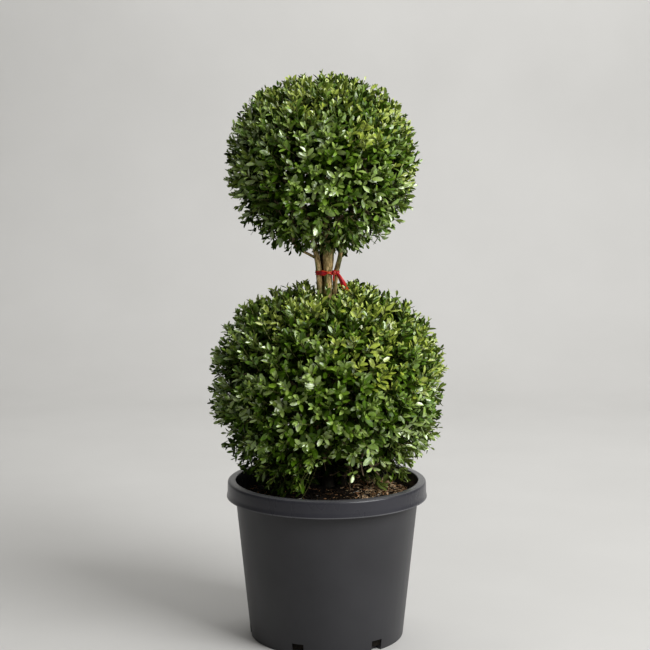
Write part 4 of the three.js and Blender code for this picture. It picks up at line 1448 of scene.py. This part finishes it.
def ribbon_finish():
    """Glossy red tape, painted orange at its edges, ends and twist as a glow of light through it, and
    lighter where worn.
    """
    finish = new_finish("red_ribbon", (0.45, 0.008, 0.015), 0.27, Specular_IOR_Level=0.6)
    places = add(finish, "SeparateXYZ", Vector=add(finish, "UVMap", {"uv_map": "ribbon"}).outputs["UV"])
    side = counted(finish, "ABSOLUTE", counted(finish, "SUBTRACT", places.outputs["Y"], 0.5))
    streaks = noise_in(finish, 90, 3, place_of(finish, (1, 1, 4)))
    worn = counted(finish, "MULTIPLY", streaks, WEAR_SHARE)
    # edges are painted lighter as a glow of light through the tape, and wear streaks lighten it too
    edge_glow_and_wear = counted(finish, "ADD", counted(finish, "MULTIPLY", side, EDGE_GLOW_SHARE), worn)
    crimson, scarlet, orange = (0.40, 0.004, 0.018), (0.56, 0.012, 0.016), (0.80, 0.13, 0.03)
    body_edge_glow = ramp(finish, edge_glow_and_wear, (0.35, crimson), (0.75, scarlet), (0.97, orange))
    to_the_right = add(finish, "SeparateXYZ", Vector=place_of(finish)).outputs["X"]
    off_twist = counted(finish, "ABSOLUTE", counted(finish, "SUBTRACT", to_the_right, TWIST_X))
    twist = counted(finish, "SUBTRACT", 1, counted(finish, "MULTIPLY", off_twist, TWIST_FADE))
    # the ends and the twist are painted orange as a glow of light through the tape
    tip = counted(finish, "MULTIPLY_ADD", places.outputs["X"], TIP_FADE, -TIP_FADE * TIP_FROM)
    painted_glow = counted(finish, "MAXIMUM", counted(finish, "MAXIMUM", twist, tip), 0)
    painted_glow_share = counted(finish, "MINIMUM", painted_glow, MOST_PAINTED_GLOW)
    feed(finish, "Base Color", mixed(finish, painted_glow_share, body_edge_glow, orange))
    relief(finish, streaks, 0.3, 0.0008)
    return finish


red_ribbon = ribbon_finish()
print("The tape is", TAPE * 1000, "mm thick")

# %% The band
BAND_WIDTH = 0.0072
BAND_REACH = 0.005  # from its middle to the lines above and below that it leans on
PLEAT = {"x": -0.0075, "reach": 0.0042, "width": 0.0034, "out": 0.0022}  # bunched over the left stem's front
TWIST = {"x": TWIST_X, "reach": 0.0042, "width": -0.0034, "out": 0.0006}  # pulled narrow
TWIST_LIFT = 0.0012
CREASE = 0.0005
CREASE_WAVES = 5.2  # across half the band
CREASE_WANDER = (1.5, 12.6)  # how far the creases stray, and how often along the band

low_line, _ = line_round_stems(TIE_HEIGHT - BAND_REACH, BAND_STEPS)
high_line, _ = line_round_stems(TIE_HEIGHT + BAND_REACH, BAND_STEPS)


def on_band(share, side):
    """A point of the band: on the tight line at its height, bunched or narrow in places, and creased."""
    step = round(share * BAND_STEPS) % BAND_STEPS
    middle, face = band_line[step], band_faces[step]
    near = {}
    for name, spot in (("pleat", PLEAT), ("twist", TWIST)):
        near[name] = math.exp(-(((middle[0] - spot["x"]) / spot["reach"]) ** 2)) if middle[1] < 0 else 0
    width = BAND_WIDTH + PLEAT["width"] * near["pleat"] + TWIST["width"] * near["twist"]
    up = (side * width / 2 + TWIST_LIFT * near["twist"]) / BAND_REACH
    point = low_line[step] + (high_line[step] - low_line[step]) * (up + 1) / 2
    wander = CREASE_WANDER[0] * math.sin(CREASE_WANDER[1] * share)
    creased = CREASE * (1 + math.sin(CREASE_WAVES * side + wander))
    out = creased + (PLEAT["out"] * near["pleat"] + TWIST["out"] * near["twist"]) * (1 - side**2)
    return point + face * out


belongs(ribbon_piece("tie_band_ribbon", [(on_band, BAND_STEPS)]), "tie", "tie_band")

# %% The knot and its two ends
KNOT_PLACE = Vector((0.0135, -0.0086, 0.661))
KNOT_RADII = (0.0031, 0.0043)  # out from the band, and up
KNOT_WIDTH = 0.0058
KNOT_TURN = math.radians(-22)
KNOT_FULL = 0.16  # how much fuller it is in its middle than at its sides
KNOT_UNEVEN = 0.07
KNOT_NARROW = 0.25  # how much narrower it is in front, and wider behind
KNOT_STEPS = 48
LONG_END = [  # in millimetres
    (13.2, -10.4, 661.6), (17.4, -12.6, 660), (22.4, -14, 653.5), (28, -15.6, 643.5), (33.8, -17, 630.6),
]
SHORT_END = [(12.8, -9.6, 659), (12.4, -11, 656), (12, -11.2, 652), (11.6, -10.8, 647.5)]
END_STEPS = 40
WIDENING = 1.6  # an end has its full width after its length divided by this
CUT_OFF = 0.0022  # how far the corners of an end stand out of its slanting cut
CUT_FROM, CUT_STRETCH = 0.9, 10  # that cut slants the last tenth of it
FOLD_SIDE = 0.15  # where the fold lies across it, from -1 to 1
WAVE_HEIGHT = 0.0004
WAVE_COUNTS = (9, 2)  # radians of the waves along it and across half of it


def on_knot(share, side):
    """A point of the strip that is wound once round the band, fuller in its middle."""
    turn = 2 * math.pi * share
    full = 1 + KNOT_FULL * (1 - side**2) + KNOT_UNEVEN * math.sin(3 * turn + 2 * side)
    out = -math.cos(turn) * KNOT_RADII[0] * full
    up = math.sin(turn) * KNOT_RADII[1] * full
    along = side * KNOT_WIDTH / 2 * (1 - KNOT_NARROW * math.cos(turn))
    flat = Vector((along, out, up))
    return KNOT_PLACE + Matrix.Rotation(KNOT_TURN, 3, "Y") @ flat


def end_of_ribbon(points, widths, fold, lean):
    """A hanging end as a function of place: a strip along a line, folded lengthwise and a little wavy."""
    middles, ways = resampled(smooth_line(points), np.linspace(0, 1, END_STEPS + 1))

    def on_end(share, side):
        step = round(share * END_STEPS)
        way = Vector(ways[step])
        across = Vector((1, lean, 0)) - way * way.dot(Vector((1, lean, 0)))
        across.normalize()
        face = across.cross(way).normalized()
        width = widths[0] + (widths[1] - widths[0]) * min(1, share * WIDENING)
        cut_off = CUT_OFF * side * max(0, share - CUT_FROM) * CUT_STRETCH
        wave = WAVE_HEIGHT * math.sin(WAVE_COUNTS[0] * share + WAVE_COUNTS[1] * side)
        folded = fold * (abs(side - FOLD_SIDE) - 0.5) + wave
        return Vector(middles[step]) + across * (side * width / 2) + face * folded + way * cut_off

    return on_end


knot_runs = [
    (on_knot, KNOT_STEPS),
    (end_of_ribbon(LONG_END, (0.0050, 0.0100), 0.0018, -0.25), END_STEPS),
    (end_of_ribbon(SHORT_END, (0.0030, 0.0036), 0.0010, 0.5), END_STEPS),
]
belongs(ribbon_piece("tie_knot_ribbon", knot_runs), "tie", "tie_knot")
